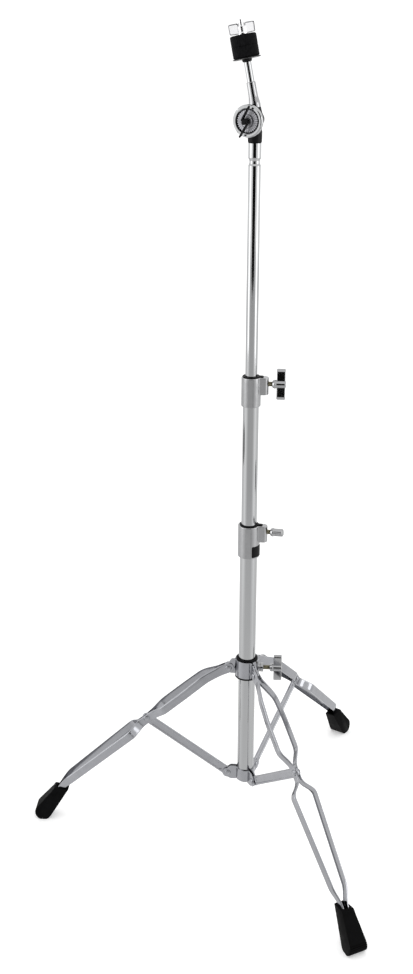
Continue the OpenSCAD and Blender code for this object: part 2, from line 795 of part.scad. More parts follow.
module rod_sleeve() {
    color(black) at_arm() difference() {
        union() {
            arm_ring(felt_s - 0.35, felt_s + 0.4, 8, 8);
            arm_ring(felt_s - 0.35, sleeve_top, sleeve_d / 2, sleeve_d / 2);
        }
        arm_ring(felt_s - 1, sleeve_top + 1, stud_d / 2 + fit, stud_d / 2 + fit);
    }
}

module felt(s) {
    r = felt_d / 2;
    bevel = 1.5;
    difference() {
        union() {
            arm_ring(s, s + bevel, r - bevel, r);
            arm_ring(s + bevel, s + felt_h - bevel, r, r);
            arm_ring(s + felt_h - bevel, s + felt_h, r, r - bevel);
        }
        arm_ring(s - 1, s + felt_h + 1, sleeve_d / 2 + soft, sleeve_d / 2 + soft);
    }
}

module lower_felt() {
    color(black) at_arm() difference() {
        felt(felt_s);
        arm_ring(felt_s - 1, felt_s + 0.7, 8.3, 8.3);
    }
}

module upper_felt() {
    color(black) at_arm() felt(upper_felt_s);
}

module cymbal_wing_nut() {
    nut_s = upper_felt_s + felt_h + 0.2;
    blade = 3.4;
    half = 19;
    blade_h = 16;
    wings_turn = 40;
    color(chrome) at_arm() translate([arm_x, 0, nut_s]) rotate([0, 0, wings_turn]) difference() {
        union() {
            cylinder(h = 3, r = 7.5);
            cylinder(h = 12, r1 = 6.6, r2 = 6);
            translate([-blade / 2, -half, 2]) cube([blade, 2 * half, blade_h - 2]);
        }
        translate([0, 0, -1]) cylinder(h = 20, r = stud_d / 2 + fit);
        translate([-5, -4.8, 12]) cube([10, 9.6, 8]);
    }
}

base_tube();
base_end_plug();
base_clamp();
base_bushing();
base_t_bolt();
clamp_badge();
lower_plate(0);  // lower_plate_1
lower_plate(1);  // lower_plate_2
lower_plate(2);  // lower_plate_3
lower_pins();
collar_plate(0);  // collar_plate_1
collar_plate(1);  // collar_plate_2
collar_plate(2);  // collar_plate_3
collar_bushing();
collar_boss();
collar_pins();
collar_t_bolt();
brace(0);  // brace_1
brace(1);  // brace_2
brace(2);  // brace_3
leg_strip(0, 1);  // leg_1_strip_left
leg_strip(0, -1);  // leg_1_strip_right
leg_rivet(0);  // leg_1_rivet
foot(0);  // foot_1
leg_strip(1, 1);  // leg_2_strip_left
leg_strip(1, -1);  // leg_2_strip_right
leg_rivet(1);  // leg_2_rivet
foot(1);  // foot_2
leg_strip(2, 1);  // leg_3_strip_left
leg_strip(2, -1);  // leg_3_strip_right
leg_rivet(2);  // leg_3_rivet
foot(2);  // foot_3
mid_tube();
mid_glide();
mid_clamp();
mid_bushing();
mid_t_bolt();
top_tube();
top_glide();
tilter_socket();
ratchet_cup();
ratchet_plate();
tilter_spring();
tilter_bolt();
tilter_arm();
tilter_washer();
tilter_wing_nut();
cymbal_rod();
rod_sleeve();
cup_washer();
lower_felt();
upper_felt();
cymbal_wing_nut();
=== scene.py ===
import json
from math import acos, atan2, cos, degrees, hypot, pi, radians, sin, sqrt, tan

import bmesh
import bpy
from mathutils import Matrix, Vector


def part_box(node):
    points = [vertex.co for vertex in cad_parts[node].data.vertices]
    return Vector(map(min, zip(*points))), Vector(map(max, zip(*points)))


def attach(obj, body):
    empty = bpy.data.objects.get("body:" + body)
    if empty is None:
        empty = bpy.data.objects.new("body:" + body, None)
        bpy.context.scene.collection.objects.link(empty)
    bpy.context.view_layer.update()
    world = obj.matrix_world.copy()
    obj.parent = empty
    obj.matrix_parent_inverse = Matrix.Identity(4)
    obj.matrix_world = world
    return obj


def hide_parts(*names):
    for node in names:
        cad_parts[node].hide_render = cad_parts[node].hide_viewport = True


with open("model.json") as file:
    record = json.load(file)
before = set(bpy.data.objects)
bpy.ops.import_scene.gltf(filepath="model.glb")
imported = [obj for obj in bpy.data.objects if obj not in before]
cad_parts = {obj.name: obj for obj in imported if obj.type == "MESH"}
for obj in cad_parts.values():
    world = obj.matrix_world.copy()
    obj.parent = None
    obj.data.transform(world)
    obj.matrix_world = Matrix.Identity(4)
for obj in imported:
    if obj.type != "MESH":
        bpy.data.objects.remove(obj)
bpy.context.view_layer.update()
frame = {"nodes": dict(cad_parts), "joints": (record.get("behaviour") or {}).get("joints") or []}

MM = 0.001
WELD = 2e-6     # vertices this close are one, in metres
CORE = 0.01     # radius at which a solid turned part closes
BOLT_R = 4.0
joints = {j["name"]: j for j in frame["joints"]}


# ---------------------------------------------------------------- places ----
def span(node):
    lo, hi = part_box(node)
    return lo / MM, hi / MM


def local_points(node, place):
    """The node's vertices in the frame of place, in millimetres."""
    return [place.inverted() @ (v.co / MM) for v in frame["nodes"][node].data.vertices]


def joint_at(name):
    return Vector(joints[name]["pos_m"]) / MM


def joint_axis(name):
    return Vector(joints[name]["axis"]).normalized()


_lo, _hi = span("base_tube")
AXIS_X = (_lo.x + _hi.x) / 2
SWELL = 0.35    # the top tube's swell above its crimp
BASE_R = (_hi.x - _lo.x) / 2
_lo, _hi = span("mid_tube")
MID_R = (_hi.x - _lo.x) / 2
_lo, _hi = span("top_tube")
TOP_R = (_hi.x - _lo.x) / 2 - SWELL


def toward(turn, z=0.0):
    return Matrix.Translation((AXIS_X, 0, z)) @ Matrix.Rotation(radians(turn), 4, "Z")


def axes(origin, x, z):
    """Frame at origin with its X along x and its Z as near z as that allows."""
    x, z = Vector(x).normalized(), Vector(z).normalized()
    m = Matrix((x, z.cross(x), z)).transposed().to_4x4()
    m.translation = Vector(origin)
    return m


def roll(m, angle):
    return m @ Matrix.Rotation(radians(angle), 4, "X")


# ------------------------------------------------------------- materials ----
def material(name, color, metallic, rough, rough_var=0.04, scale=120.0, stretch=(1, 1, 1),
             tint=0.12, bump=0.05, bump_scale=400.0, depth=0.0002, sheen=0.0, spec=0.5):
    """Principled surface whose colour, gloss and bump vary with two scales of noise."""
    m = bpy.data.materials.new(name)
    m.use_nodes = True
    nt = m.node_tree
    p = nt.nodes["Principled BSDF"]
    p.inputs["Metallic"].default_value = metallic
    p.inputs["Sheen Weight"].default_value = sheen
    p.inputs["Specular IOR Level"].default_value = spec
    coord = nt.nodes.new("ShaderNodeTexCoord")
    mapping = nt.nodes.new("ShaderNodeMapping")
    mapping.inputs["Scale"].default_value = stretch
    nt.links.new(coord.outputs["Object"], mapping.inputs["Vector"])
    broad = nt.nodes.new("ShaderNodeTexNoise")
    broad.inputs["Scale"].default_value = scale
    broad.inputs["Detail"].default_value = 3.0
    nt.links.new(mapping.outputs["Vector"], broad.inputs["Vector"])
    ramp = nt.nodes.new("ShaderNodeValToRGB")
    ramp.color_ramp.elements[0].position = 0.3
    ramp.color_ramp.elements[1].position = 0.7
    ramp.color_ramp.elements[0].color = (*[c * (1 - tint) for c in color], 1)
    ramp.color_ramp.elements[1].color = (*[min(1, c * (1 + tint)) for c in color], 1)
    nt.links.new(broad.outputs["Fac"], ramp.inputs["Fac"])
    nt.links.new(ramp.outputs["Color"], p.inputs["Base Color"])
    span_ = nt.nodes.new("ShaderNodeMapRange")
    span_.inputs["From Min"].default_value = 0.3
    span_.inputs["From Max"].default_value = 0.7
    span_.inputs["To Min"].default_value = rough - rough_var
    span_.inputs["To Max"].default_value = rough + rough_var
    nt.links.new(broad.outputs["Fac"], span_.inputs["Value"])
    nt.links.new(span_.outputs["Result"], p.inputs["Roughness"])
    fine = nt.nodes.new("ShaderNodeTexNoise")
    fine.inputs["Scale"].default_value = bump_scale
    fine.inputs["Detail"].default_value = 4.0
    nt.links.new(mapping.outputs["Vector"], fine.inputs["Vector"])
    b = nt.nodes.new("ShaderNodeBump")
    b.inputs["Strength"].default_value = bump
    b.inputs["Distance"].default_value = depth
    nt.links.new(fine.outputs["Fac"], b.inputs["Height"])
    nt.links.new(b.outputs["Normal"], p.inputs["Normal"])
    return m


TUBE = material("tube_chrome", (0.44, 0.445, 0.45), 1, 0.07, 0.025, 45, (1, 1, 0.15), 0.03, 0.012, 260)
CAST = material("cast_chrome", (0.37, 0.372, 0.378), 1, 0.12, 0.04, 90, (1, 1, 1), 0.05, 0.05, 320)
LEG = material("leg_chrome", (0.345, 0.35, 0.37), 1, 0.13, 0.04, 70, (1, 1, 1), 0.05, 0.04, 240)
STEEL = material("steel", (0.30, 0.30, 0.31), 1, 0.28, 0.06, 200, (1, 1, 1), 0.1, 0.1, 600)
THREAD = material("thread_steel", (0.20, 0.185, 0.13), 1, 0.26, 0.08, 260, (1, 1, 1), 0.18, 0.1, 700)
BLACK = material("black_cast", (0.0045, 0.0045, 0.005), 0, 0.30, 0.08, 150, (1, 1, 1), 0.2, 0.12, 700, spec=0.1)
PLATE_GREY = material("plate_grey", (0.40, 0.40, 0.42), 1, 0.38, 0.06, 160, (1, 1, 1), 0.1, 0.1, 500)
BRIGHT = material("bright_chrome", (0.86, 0.86, 0.87), 1, 0.16, 0.04, 120, (1, 1, 1), 0.05, 0.05, 400)
NYLON = material("black_nylon", (0.004, 0.004, 0.0045), 0, 0.42, 0.08, 160, (1, 1, 1), 0.2, 0.12, 900, spec=0.05)
BADGE = material("black_badge", (0.003, 0.003, 0.0035), 0, 0.22, 0.05, 90, (1, 1, 1), 0.15, 0.02, 300, spec=0.1)
RUBBER = material("foot_rubber", (0.0028, 0.0028, 0.003), 0, 0.55, 0.1, 110, (1, 1, 1), 0.35, 0.35, 900, spec=0.03)
FELT = material("felt", (0.0045, 0.0045, 0.005), 0, 0.92, 0.06, 420, (1, 1, 0.5), 0.5, 0.7, 1500,
                depth=0.0006, sheen=0.03, spec=0.05)


# ---------------------------------------------------------------- shapes ----
def fillet(points, radius, closed=True, n=4):
    """The polyline with its corners rounded; radius is one number or one per corner."""
    out = []
    m = len(points)
    for i, q in enumerate(points):
        r = radius[i] if isinstance(radius, (list, tuple)) else radius
        p = Vector(q)
        if r <= 0 or (not closed and i in (0, m - 1)):
            out.append(tuple(p))
            continue
        a, b = Vector(points[i - 1]) - p, Vector(points[(i + 1) % m]) - p
        la, lb = a.length, b.length
        a.normalize()
        b.normalize()
        inner = a.angle(b)
        if inner > pi - 0.03:
            out.append(tuple(p))
            continue
        cut = min(r / tan(inner / 2), 0.47 * la, 0.47 * lb)
        r = cut * tan(inner / 2)
        c = p + (a + b).normalized() * (r / sin(inner / 2))
        v0, v1 = p + a * cut - c, p + b * cut - c
        turn = pi - inner
        for k in range(n + 1):
            t = k / n
            v = (v0 * sin((1 - t) * turn) + v1 * sin(t * turn)) / sin(turn)
            out.append(tuple(c + v))
    return out


def loft(rings, wrap=False, caps=True):
    """Skin over rings that have the same number of points."""
    n = len(rings[0])
    verts = [tuple(p) for ring in rings for p in ring]
    m = len(rings)
    faces = []
    for i in range(m if wrap else m - 1):
        for j in range(n):
            a, b = i * n + j, i * n + (j + 1) % n
            c = ((i + 1) % m) * n
            faces.append((a, b, c + (j + 1) % n, c + j))
    if caps and not wrap:
        faces.append(tuple(range(n)))
        faces.append(tuple((m - 1) * n + j for j in range(n)))
    return verts, faces


def turned(profile, steps=96, axis="Z", hollow=False):
    """Body of revolution of [radius, along] points; a hollow one has a closed profile."""
    rings = []
    for r, s in profile:
        ring = []
        for k in range(steps):
            a = 2 * pi * k / steps
            if axis == "Z":
                ring.append((r * cos(a), r * sin(a), s))
            else:
                ring.append((s, r * cos(a), r * sin(a)))
        rings.append(ring)
    return loft(rings, wrap=hollow)


def lathe(points, radius, steps, axis="Z", hollow=False, n=4):
    """Body of revolution of a profile whose corners are rounded."""
    return turned(fillet(points, radius, closed=hollow, n=n), steps, axis, hollow)


def prism(outline, t0, t1, plane="xz"):
    """Outline made solid from t0 to t1 across its plane."""
    def put(p, t):
        return {"xz": (p[0], t, p[1]), "xy": (p[0], p[1], t), "yz": (t, p[0], p[1])}[plane]
    return loft([[put(p, t0) for p in outline], [put(p, t1) for p in outline]])


def thread(x0, x1, r, pitch=1.25, depth=0.55, steps=28):
    """Real helical thread along X, tapered at its end."""
    rows = []
    count = int((x1 - x0) / pitch * 6)
    for i in range(count + 1):
        x = x0 + (x1 - x0) * i / count
        ease = min(1.0, (x - x0) / 1.2)
        ring = []
        for k in range(steps):
            phase = (x / pitch - k / steps) % 1.0
            dip = depth * abs(2 * phase - 1)
            rho = (r - dip) * (0.82 + 0.18 * ease)
            ring.append((x, rho * cos(2 * pi * k / steps), rho * sin(2 * pi * k / steps)))
        rows.append(ring)
    return loft(rows)


def moved(part, m):
    return [tuple(m @ Vector(v)) for v in part[0]], part[1]


def piece(node, parts, place, mats, body, bevel=0.0, crease=34, flat=True, segments=2, edit=None):
    """Joins parts, [verts, faces] or [verts, faces, material number(s)], into one piece in the node's stead.

    The piece rides on the body. edit(mesh, place) may change its mesh before its sharp edges are marked.
    """
    verts, faces, which = [], [], []
    for part in parts:
        base = len(verts)
        verts += part[0]
        faces += [tuple(base + i for i in f) for f in part[1]]
        mark = part[2] if len(part) > 2 else 0
        which += mark if isinstance(mark, list) else [mark] * len(part[1])
    me = bpy.data.meshes.new("look_" + node)
    me.from_pydata([tuple((place @ Vector(v)) * MM) for v in verts], [], faces)
    for poly, w in zip(me.polygons, which):
        poly.material_index = w
    bm = bmesh.new()
    bm.from_mesh(me)
    bmesh.ops.remove_doubles(bm, verts=bm.verts, dist=WELD)
    bmesh.ops.recalc_face_normals(bm, faces=bm.faces)
    bm.to_mesh(me)
    bm.free()
    me.update()
    if edit:
        edit(me, place)
    for m in mats if isinstance(mats, list) else [mats]:
        me.materials.append(m)
    me.polygons.foreach_set("use_smooth", [True] * len(me.polygons))
    me.set_sharp_from_angle(angle=radians(crease))
    ob = bpy.data.objects.new("look_" + node, me)
    bpy.context.scene.collection.objects.link(ob)
    if bevel:
        b = ob.modifiers.new("edges", "BEVEL")
        b.width = bevel * MM
        b.segments = segments
        b.limit_method = "ANGLE"
        b.angle_limit = radians(crease)
        b.use_clamp_overlap = True
    if flat:
        w = ob.modifiers.new("flats", "WEIGHTED_NORMAL")
        w.keep_sharp = True
        w.weight = 80
    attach(ob, body)
    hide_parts(node)
    return ob


# ---------------------------------------------------------------- column ----
WALL = 1.5
EDGE = 0.5


def pipe(node, r, body):
    lo, hi = span(node)
    wall = lathe([(r, lo.z), (r, hi.z), (r - WALL, hi.z), (r - WALL, lo.z)], EDGE, 144, hollow=True, n=3)
    piece(node, [wall], toward(0), TUBE, body)


pipe("base_tube", BASE_R, "column_base")
pipe("mid_tube", MID_R, "mid_column")

# The top tube is crimped below the tilter, and slightly swelled above the crimp.
lo, hi = span("top_tube")
SOCKET_Z = hi.z - 10
crimp, neck_r = SOCKET_Z - 31, TOP_R - 1.5
spigot_r, inner_r = TOP_R - 1.2, TOP_R - WALL - 0.9
swell_r = TOP_R + SWELL
outer = [(TOP_R, lo.z), (TOP_R, crimp - 1.6), (neck_r, crimp + 1.4), (neck_r, crimp + 6), (swell_r, crimp + 9.4),
         (swell_r, SOCKET_Z - 0.4), (spigot_r, SOCKET_Z - 0.2), (spigot_r, hi.z)]
wall = lathe(outer + [(inner_r, hi.z), (inner_r, lo.z)], [0.5, 4, 4, 4, 4, 0.3, 0.2, 0.2, 0, 0.3], 144,
             hollow=True, n=6)
piece("top_tube", [wall], toward(0), TUBE, "top_column")

end_z = span("base_tube")[0].z
shank_r = BASE_R - WALL - 0.1
plug = lathe([(CORE, end_z - 4), (BASE_R - 0.5, end_z - 4), (BASE_R - 0.5, end_z - 0.1), (shank_r, end_z - 0.1),
              (shank_r, end_z + 8), (CORE, end_z + 8)], [0, 1.2, 0.4, 0.2, 0.8, 0], 72)
piece("base_end_plug", [plug], toward(0), NYLON, "column_base")


# ---------------------------------------------------------------- clamps ----
BOSS_R, BOSS_H = 7.5, 28


def bolt_place(name):
    """Frame on the column's axis at the bolt's height, +X along the bolt."""
    return axes((AXIS_X, 0, joint_at(name).z), joint_axis(name), (0, 0, 1))


def clamp(node, joint, bore, body):
    """Ring whose upper part grows a boss for the bolt, with a seam; returns how far the boss reaches."""
    lo, hi = span(node)
    h = hi.z - lo.z
    ax = joint_axis(joint)
    place = axes((AXIS_X, 0, lo.z), ax, (0, 0, 1))
    ring = hi.y if abs(lo.y + hi.y) < 1 else max(-lo.y, hi.y)
    ring = round(ring * 2) / 2
    corners = [Vector(v.co) / MM for v in frame["nodes"][node].data.vertices]
    reach = max((v - Vector((AXIS_X, 0, 0))).dot(ax) for v in corners)
    boss_z = h - BOSS_H
    c = reach - BOSS_R
    seam = -78 - degrees(atan2(ax.y, ax.x))
    angles = [a for a in range(-180, 180, 3) if abs(a) > 36 and abs(a - seam) > 2]
    angles += [a * 1.0 for a in range(-36, 37)] + [seam + s for s in (-1.8, -1.1, -0.7, 0.7, 1.1, 1.8)]
    angles = sorted(set(angles))

    def radius(a, bossy, inset, ring_inset):
        cut = 0.6 if abs(a - seam) < 0.9 else 0.0
        r = ring - ring_inset - cut
        if bossy and abs(a) < 80:
            t = radians(abs(a))
            side = (BOSS_R - inset) / max(sin(t), 1e-6)
            if side * cos(t) > c:
                s = c * sin(t)
                side = c * cos(t) + sqrt(max((BOSS_R - inset) ** 2 - s * s, 0))
            k = 1.6
            r = max(r, side) + max(k - abs(r - side), 0) ** 2 / (4 * k)
        return r

    # Each level: height, 1 with the boss, inset of the boss, inset of the ring.
    levels = [(0, 0, 0, 1.0), (0.2, 0, 0, 0.5), (0.6, 0, 0, 0.12), (1.2, 0, 0, 0), (boss_z - 1, 0, 0, 0),
              (boss_z, 0, 0, 0)]
    levels += [(boss_z, 1, 1.0, 0), (boss_z + 0.25, 1, 0.4, 0), (boss_z + 0.7, 1, 0.1, 0), (boss_z + 1.2, 1, 0, 0)]
    levels += [(h - 1.2, 1, 0, 0), (h - 0.7, 1, 0.1, 0.1), (h - 0.25, 1, 0.4, 0.4), (h, 1, 1.0, 1.0)]
    rings = [[(radius(a, b, i, j) * cos(radians(a)), radius(a, b, i, j) * sin(radians(a)), z) for a in angles]
             for z, b, i, j in levels]
    for r, z in ((bore + 0.6, h), (bore, h - 0.6), (bore, 0.6), (bore + 0.6, 0)):
        rings.append([(r * cos(radians(a)), r * sin(radians(a)), z) for a in angles])
    piece(node, [loft(rings, wrap=True)], place, CAST, body, crease=40)
    return reach


def bushing(node, joint, r_out, r_in, reach, body):
    """Sleeve with a lip on the clamp and a tab on the clamp's boss."""
    lo, hi = span(node)
    place = axes((AXIS_X, 0, 0), joint_axis(joint), (0, 0, 1))
    lip = hi.z - 2.0
    sleeve = lathe([(r_in, lo.z), (r_out - 0.1, lo.z), (r_out - 0.1, lip), (r_out + 0.9, lip), (r_out + 0.9, hi.z),
                    (r_in, hi.z)], [0.3, 0.3, 0, 0.3, 0.6, 0.5], 96, hollow=True, n=3)
    tab = fillet([(r_in + 2, -3.6), (reach - 8.2, -3.6), (reach - 8.2, 3.6), (r_in + 2, 3.6)], [0, 2.4, 2.4, 0])
    piece(node, [sleeve, prism(tab, lip, hi.z - 0.02, "xy")], place, NYLON, body, bevel=0.35)


base_reach = clamp("base_clamp", "base_bolt_spin", BASE_R + 0.05, "column_base")
mid_reach = clamp("mid_clamp", "mid_bolt_spin", MID_R + 0.05, "mid_column")
bushing("base_bushing", "base_bolt_spin", BASE_R, MID_R + 0.05, base_reach, "column_base")
bushing("mid_bushing", "mid_bolt_spin", MID_R, TOP_R + 0.05, mid_reach, "mid_column")

# Blank badge: a thin curved plate with round corners.
lo, hi = span("clamp_badge")
turns = [degrees(atan2(v.co.y / MM, v.co.x / MM - AXIS_X)) for v in frame["nodes"]["clamp_badge"].data.vertices]
t0, t1 = min(turns), max(turns)
radii = [hypot(v.co.x / MM - AXIS_X, v.co.y / MM) for v in frame["nodes"]["clamp_badge"].data.vertices]
r0, r1 = min(radii), max(radii)
mid_z, half_z = (lo.z + hi.z) / 2, (hi.z - lo.z) / 2
CORNER = 1.2
rows = []
for i in range(41):
    u = i / 40 * 2 - 1
    a = radians((t0 + t1) / 2 + u * (t1 - t0) / 2)
    arc = abs(u) * radians(t1 - t0) / 2 * r1
    edge = radians(t1 - t0) / 2 * r1 - arc
    cutz = 0 if edge > CORNER else CORNER - sqrt(max(CORNER ** 2 - (CORNER - edge) ** 2, 0))
    hz = half_z - cutz
    crown = r1 - 0.35 + 0.35 * min(1, edge / 1.2)
    section = ((r0, -hz), (crown - 0.35, -hz), (crown, -hz + 0.5),
               (crown, hz - 0.5), (crown - 0.35, hz), (r0, hz))
    rows.append([(r * cos(a), r * sin(a), mid_z + z) for r, z in section])
piece("clamp_badge", [loft(rows)], toward(0), BADGE, "column_base")


# --------------------------------------------------------------- T-bolts ----
def wing_bar(x0, w, th, half):
    """Flat bar of rounded section along Z that slopes to a thin edge at both ends."""
    # Each end ring: height, share of the thickness, inset of the width.
    ends = ((half, 0.13, 1.3), (half - 0.4, 0.22, 0.6), (half - 1.1, 0.36, 0.0), (half - 4.0, 0.94, 0.0),
            (half - 4.8, 1.0, 0.0))
    rings = []
    for z, k, e in [(-z, k, e) for z, k, e in ends] + [(0, 1.0, 0.0)] + list(reversed(ends)):
        t = th * k / 2
        box = [(x0 + e, -t), (x0 + w - e, -t), (x0 + w - e, t), (x0 + e, t)]
        rings.append([(x, y, z) for x, y in fillet(box, min(1.3, 0.7 * t), n=4)])
    return loft(rings)


def t_bolt(node, joint, turn):
    """Wing bar, hub and real thread; the body has the node's name."""
    place = bolt_place(joint)
    pts = local_points(node, place)
    tip = min(p.x for p in pts)
    end = max(p.x for p in pts)
    wing_w, wing_th = 13.8, 7.0
    wing_x = end - wing_w - 0.8
    reach = max(hypot(p.y, p.z) for p in pts)
    bar = wing_bar(wing_x, wing_w, wing_th, sqrt(reach ** 2 - wing_th ** 2 / 4))
    hub = lathe([(BOLT_R, wing_x - 6.6), (5.6, wing_x - 6.4), (7.2, wing_x - 3.4), (7.2, wing_x - 2.4),
                 (6.4, wing_x - 0.2), (6.4, wing_x + wing_w - 0.4), (4.6, end)], [0, 0.3, 0.6, 0.5, 0.5, 1.4, 0],
                64, "X", n=3)
    parts = [(*bar, 0), (*hub, 0), (*thread(tip, wing_x - 5.5, BOLT_R), 1)]
    piece(node, parts, roll(place, turn), [CAST, THREAD], node, crease=40)


t_bolt("base_t_bolt", "base_bolt_spin", 65)
t_bolt("mid_t_bolt", "mid_bolt_spin", -7)
t_bolt("collar_t_bolt", "collar_bolt_spin", 0)

# ------------------------------------------------------- tripod geometry ----
TURNS = {1: 180, 2: 60, 3: -60}
up = joint_at("collar_pivot")
PIVOT_R = hypot(up.x - AXIS_X, up.y)
UPPER_Z = up.z
LOWER_Z = joint_at("tripod_fold").z
knee = joint_at("leg_1_pivot")
JOINT_R = hypot(knee.x - AXIS_X, knee.y)
JOINT_Z = knee.z
EAR_R = 9.0
PLATE = 2.2
STRIP = 1.8
LUG_W = 0.5 + PLATE + 0.1 + STRIP
NECK_W = 2.0 + 0.2 + STRIP


def formed_plate(node, start, r_in, gap, z0, z1, e0, e1, pivot_z, body, bend):
    """Third of a ring, from z0 to z1, bent from one strip with an ear, from e0 to e1, at each end."""
    rm = r_in + PLATE / 2
    o = (gap + PLATE) / 2
    cx = sqrt((rm + bend) ** 2 - (o + bend) ** 2)
    psi = atan2(o + bend, cx)
    half = []
    for t in range(0, 91, 10):
        half.append((PIVOT_R + EAR_R * cos(radians(t)), o, 0.0))
    r = PIVOT_R - 1.5
    while r > cx + 0.6:
        half.append((r, o, 0.0))
        r -= 1.5
    for k in range(9):
        t = radians(-90) - (radians(90) - psi) * k / 8
        half.append((cx + bend * cos(t), o + bend + bend * sin(t), k / 8))
    path = [(Vector((x, y)), w, x) for x, y, w in half]
    spread = radians(120)
    arc = [psi + (spread - 2 * psi) * (k / 24) for k in range(1, 24)]
    ring = [(Vector((rm * cos(t), rm * sin(t))), 1.0, 0.0) for t in arc]
    back = []
    for p, w, x in reversed(path):
        d = Vector((p.x, -p.y))
        back.append((Vector((d.x * cos(spread) - d.y * sin(spread), d.x * sin(spread) + d.y * cos(spread))), w, x))
    path = path + ring + back
    rings = []
    for i, (p, w, x) in enumerate(path):
        q0, q1 = path[max(i - 1, 0)][0], path[min(i + 1, len(path) - 1)][0]
        d = (q1 - q0).normalized()
        n = Vector((-d.y, d.x)) * (PLATE / 2)
        ease = w * w * (3 - 2 * w)
        lo_z, hi_z = e0 + (z0 - e0) * ease, e1 + (z1 - e1) * ease
        if w == 0.0 and x > PIVOT_R - 6:
            hh = EAR_R if x < PIVOT_R else sqrt(max(EAR_R ** 2 - (x - PIVOT_R) ** 2, 0.36))
            t = min(1, (x - PIVOT_R + 6) / 7)
            t = t * t * (3 - 2 * t)
            hi_z += (pivot_z + hh - hi_z) * t
            lo_z += (pivot_z - hh - lo_z) * t
        ring_pts = []
        waist = lo_z * 0.5 + hi_z * 0.5
        for s, z in ((1, lo_z), (1, waist), (1, hi_z), (-1, hi_z), (-1, waist), (-1, lo_z)):
            q = p + n * s
            ring_pts.append((q.x, q.y, z))
        rings.append(ring_pts)
    piece(node, [loft(rings)], toward(start), LEG, body, bevel=0.45, crease=40)


lo, hi = span("collar_bushing")
BUSH_R = BASE_R + 3.2
lo_p, hi_p = span("collar_plate_1")
COLLAR_Z0, COLLAR_Z1 = lo_p.z, hi_p.z
for k, start in {1: -60, 2: 60, 3: 180}.items():
    formed_plate(f"collar_plate_{k}", start, BUSH_R + 0.05, 1.0, COLLAR_Z0, COLLAR_Z1, COLLAR_Z0 + 2,
                 COLLAR_Z1 - 3, UPPER_Z, "tripod_collar", 3.0)
    formed_plate(f"lower_plate_{k}", start, BASE_R + 0.05, 4.2, LOWER_Z - 10, LOWER_Z + 12, LOWER_Z - 12,
                 LOWER_Z + 13, LOWER_Z, "column_base", 2.4)

bore, under, over = BASE_R + 0.05, COLLAR_Z0 - 0.05, COLLAR_Z1 + 0.05
bush = lathe([(bore, lo.z), (BUSH_R + 2.7, lo.z), (BUSH_R + 2.7, under), (BUSH_R, under), (BUSH_R, over),
              (BUSH_R + 0.8, over), (BUSH_R + 0.8, hi.z), (bore, hi.z)], [0.5, 1.0, 0.3, 0, 0, 0.3, 1.0, 0.5], 96,
             hollow=True)
piece("collar_bushing", [bush], toward(0), NYLON, "tripod_collar")

lo, hi = span("collar_boss")
x1 = hi.x - AXIS_X
x0 = x1 - 9.2
boss = lathe([(4.3, x0), (7.9, x0), (7.9, x0 + 3.2), (7.3, x0 + 3.6), (7.3, x0 + 4.2), (7.9, x0 + 4.6), (7.9, x1),
              (4.3, x1)], [0, 0.2, 0.2, 0.2, 0.2, 0.3, 0.9, 0.4], 72, "X", hollow=True, n=3)
piece("collar_boss", [boss], toward(0, joint_at("collar_bolt_spin").z), CAST, "tripod_collar")


def rivet(r, z, half_w, head_r=5.5, head_h=2.0):
    """Shank and two domed heads with a small dimple, across the leg's plane."""
    prof = [(0.01, -half_w - head_h + 0.5), (1.3, -half_w - head_h + 0.35), (1.7, -half_w - head_h)]
    for k in range(1, 7):
        t = k / 6 * pi / 2
        prof.append((1.7 + (head_r - 1.7) * sin(t), -half_w - head_h * cos(t) ** 0.8 if k < 6 else -half_w))
    prof += [(3.0, -half_w)]
    prof = prof + [(q[0], -q[1]) for q in reversed(prof)]
    verts, faces = turned(prof, 40)
    return [(r + v[0], v[2], z + v[1]) for v in verts], faces


for name, radius_, z, w, body in (("collar_pins", PIVOT_R, UPPER_Z, LUG_W + 0.1, "tripod_collar"),
                                  ("lower_pins", PIVOT_R, LOWER_Z, 2.1 + PLATE + 0.05, "column_base")):
    parts = []
    for t in TURNS.values():
        parts.append(moved(rivet(radius_, z, w), Matrix.Rotation(radians(t), 4, "Z")))
    piece(name, parts, toward(0), LEG, body)

# ---------------------------------------------------------------- braces ----
BRACE_H, BRACE_T = 16.0, 4.0
run = Vector((JOINT_R - PIVOT_R, JOINT_Z - LOWER_Z))
rise = degrees(atan2(run.y, run.x))
length = run.length


def stadium(half, start, end, n=14):
    """Outline of a bar with round ends, from start to end."""
    pts = []
    for centre_x, first in ((end, 90), (start, -90)):
        turns = [first - 180 * k / n for k in range(n + 1)]
        pts += [(centre_x + half * cos(radians(t)), half * sin(radians(t))) for t in turns]
    return pts


def brace_part():
    """Flat bar with round ends and a soft channel pressed into both faces."""
    h, y, deep = BRACE_H / 2, BRACE_T / 2, 0.9
    # Each ring: half height, inset of its ends, half thickness.
    channel = [(0.6, 16.0, y - deep), (h - 3.8, 16.0, y - deep), (h - 3.2, 16.0, y - 0.3), (h - 2.6, 16.0, y)]
    half = channel + [(h - 0.8, 0.0, y), (h - 0.25, 0.0, y - 0.2), (h, 0.0, y - 0.8)]
    both = half + [(ring_h, inset, -ring_y) for ring_h, inset, ring_y in reversed(half)]
    return loft([[(p[0], ring_y, p[1]) for p in stadium(ring_h, inset, length - inset)]
                 for ring_h, inset, ring_y in both])


for k, t in TURNS.items():
    place = toward(t) @ Matrix.Translation((PIVOT_R, 0, LOWER_Z)) @ Matrix.Rotation(radians(-rise), 4, "Y")
    piece(f"brace_{k}", [brace_part()], place, LEG, f"brace_{k}", crease=50)

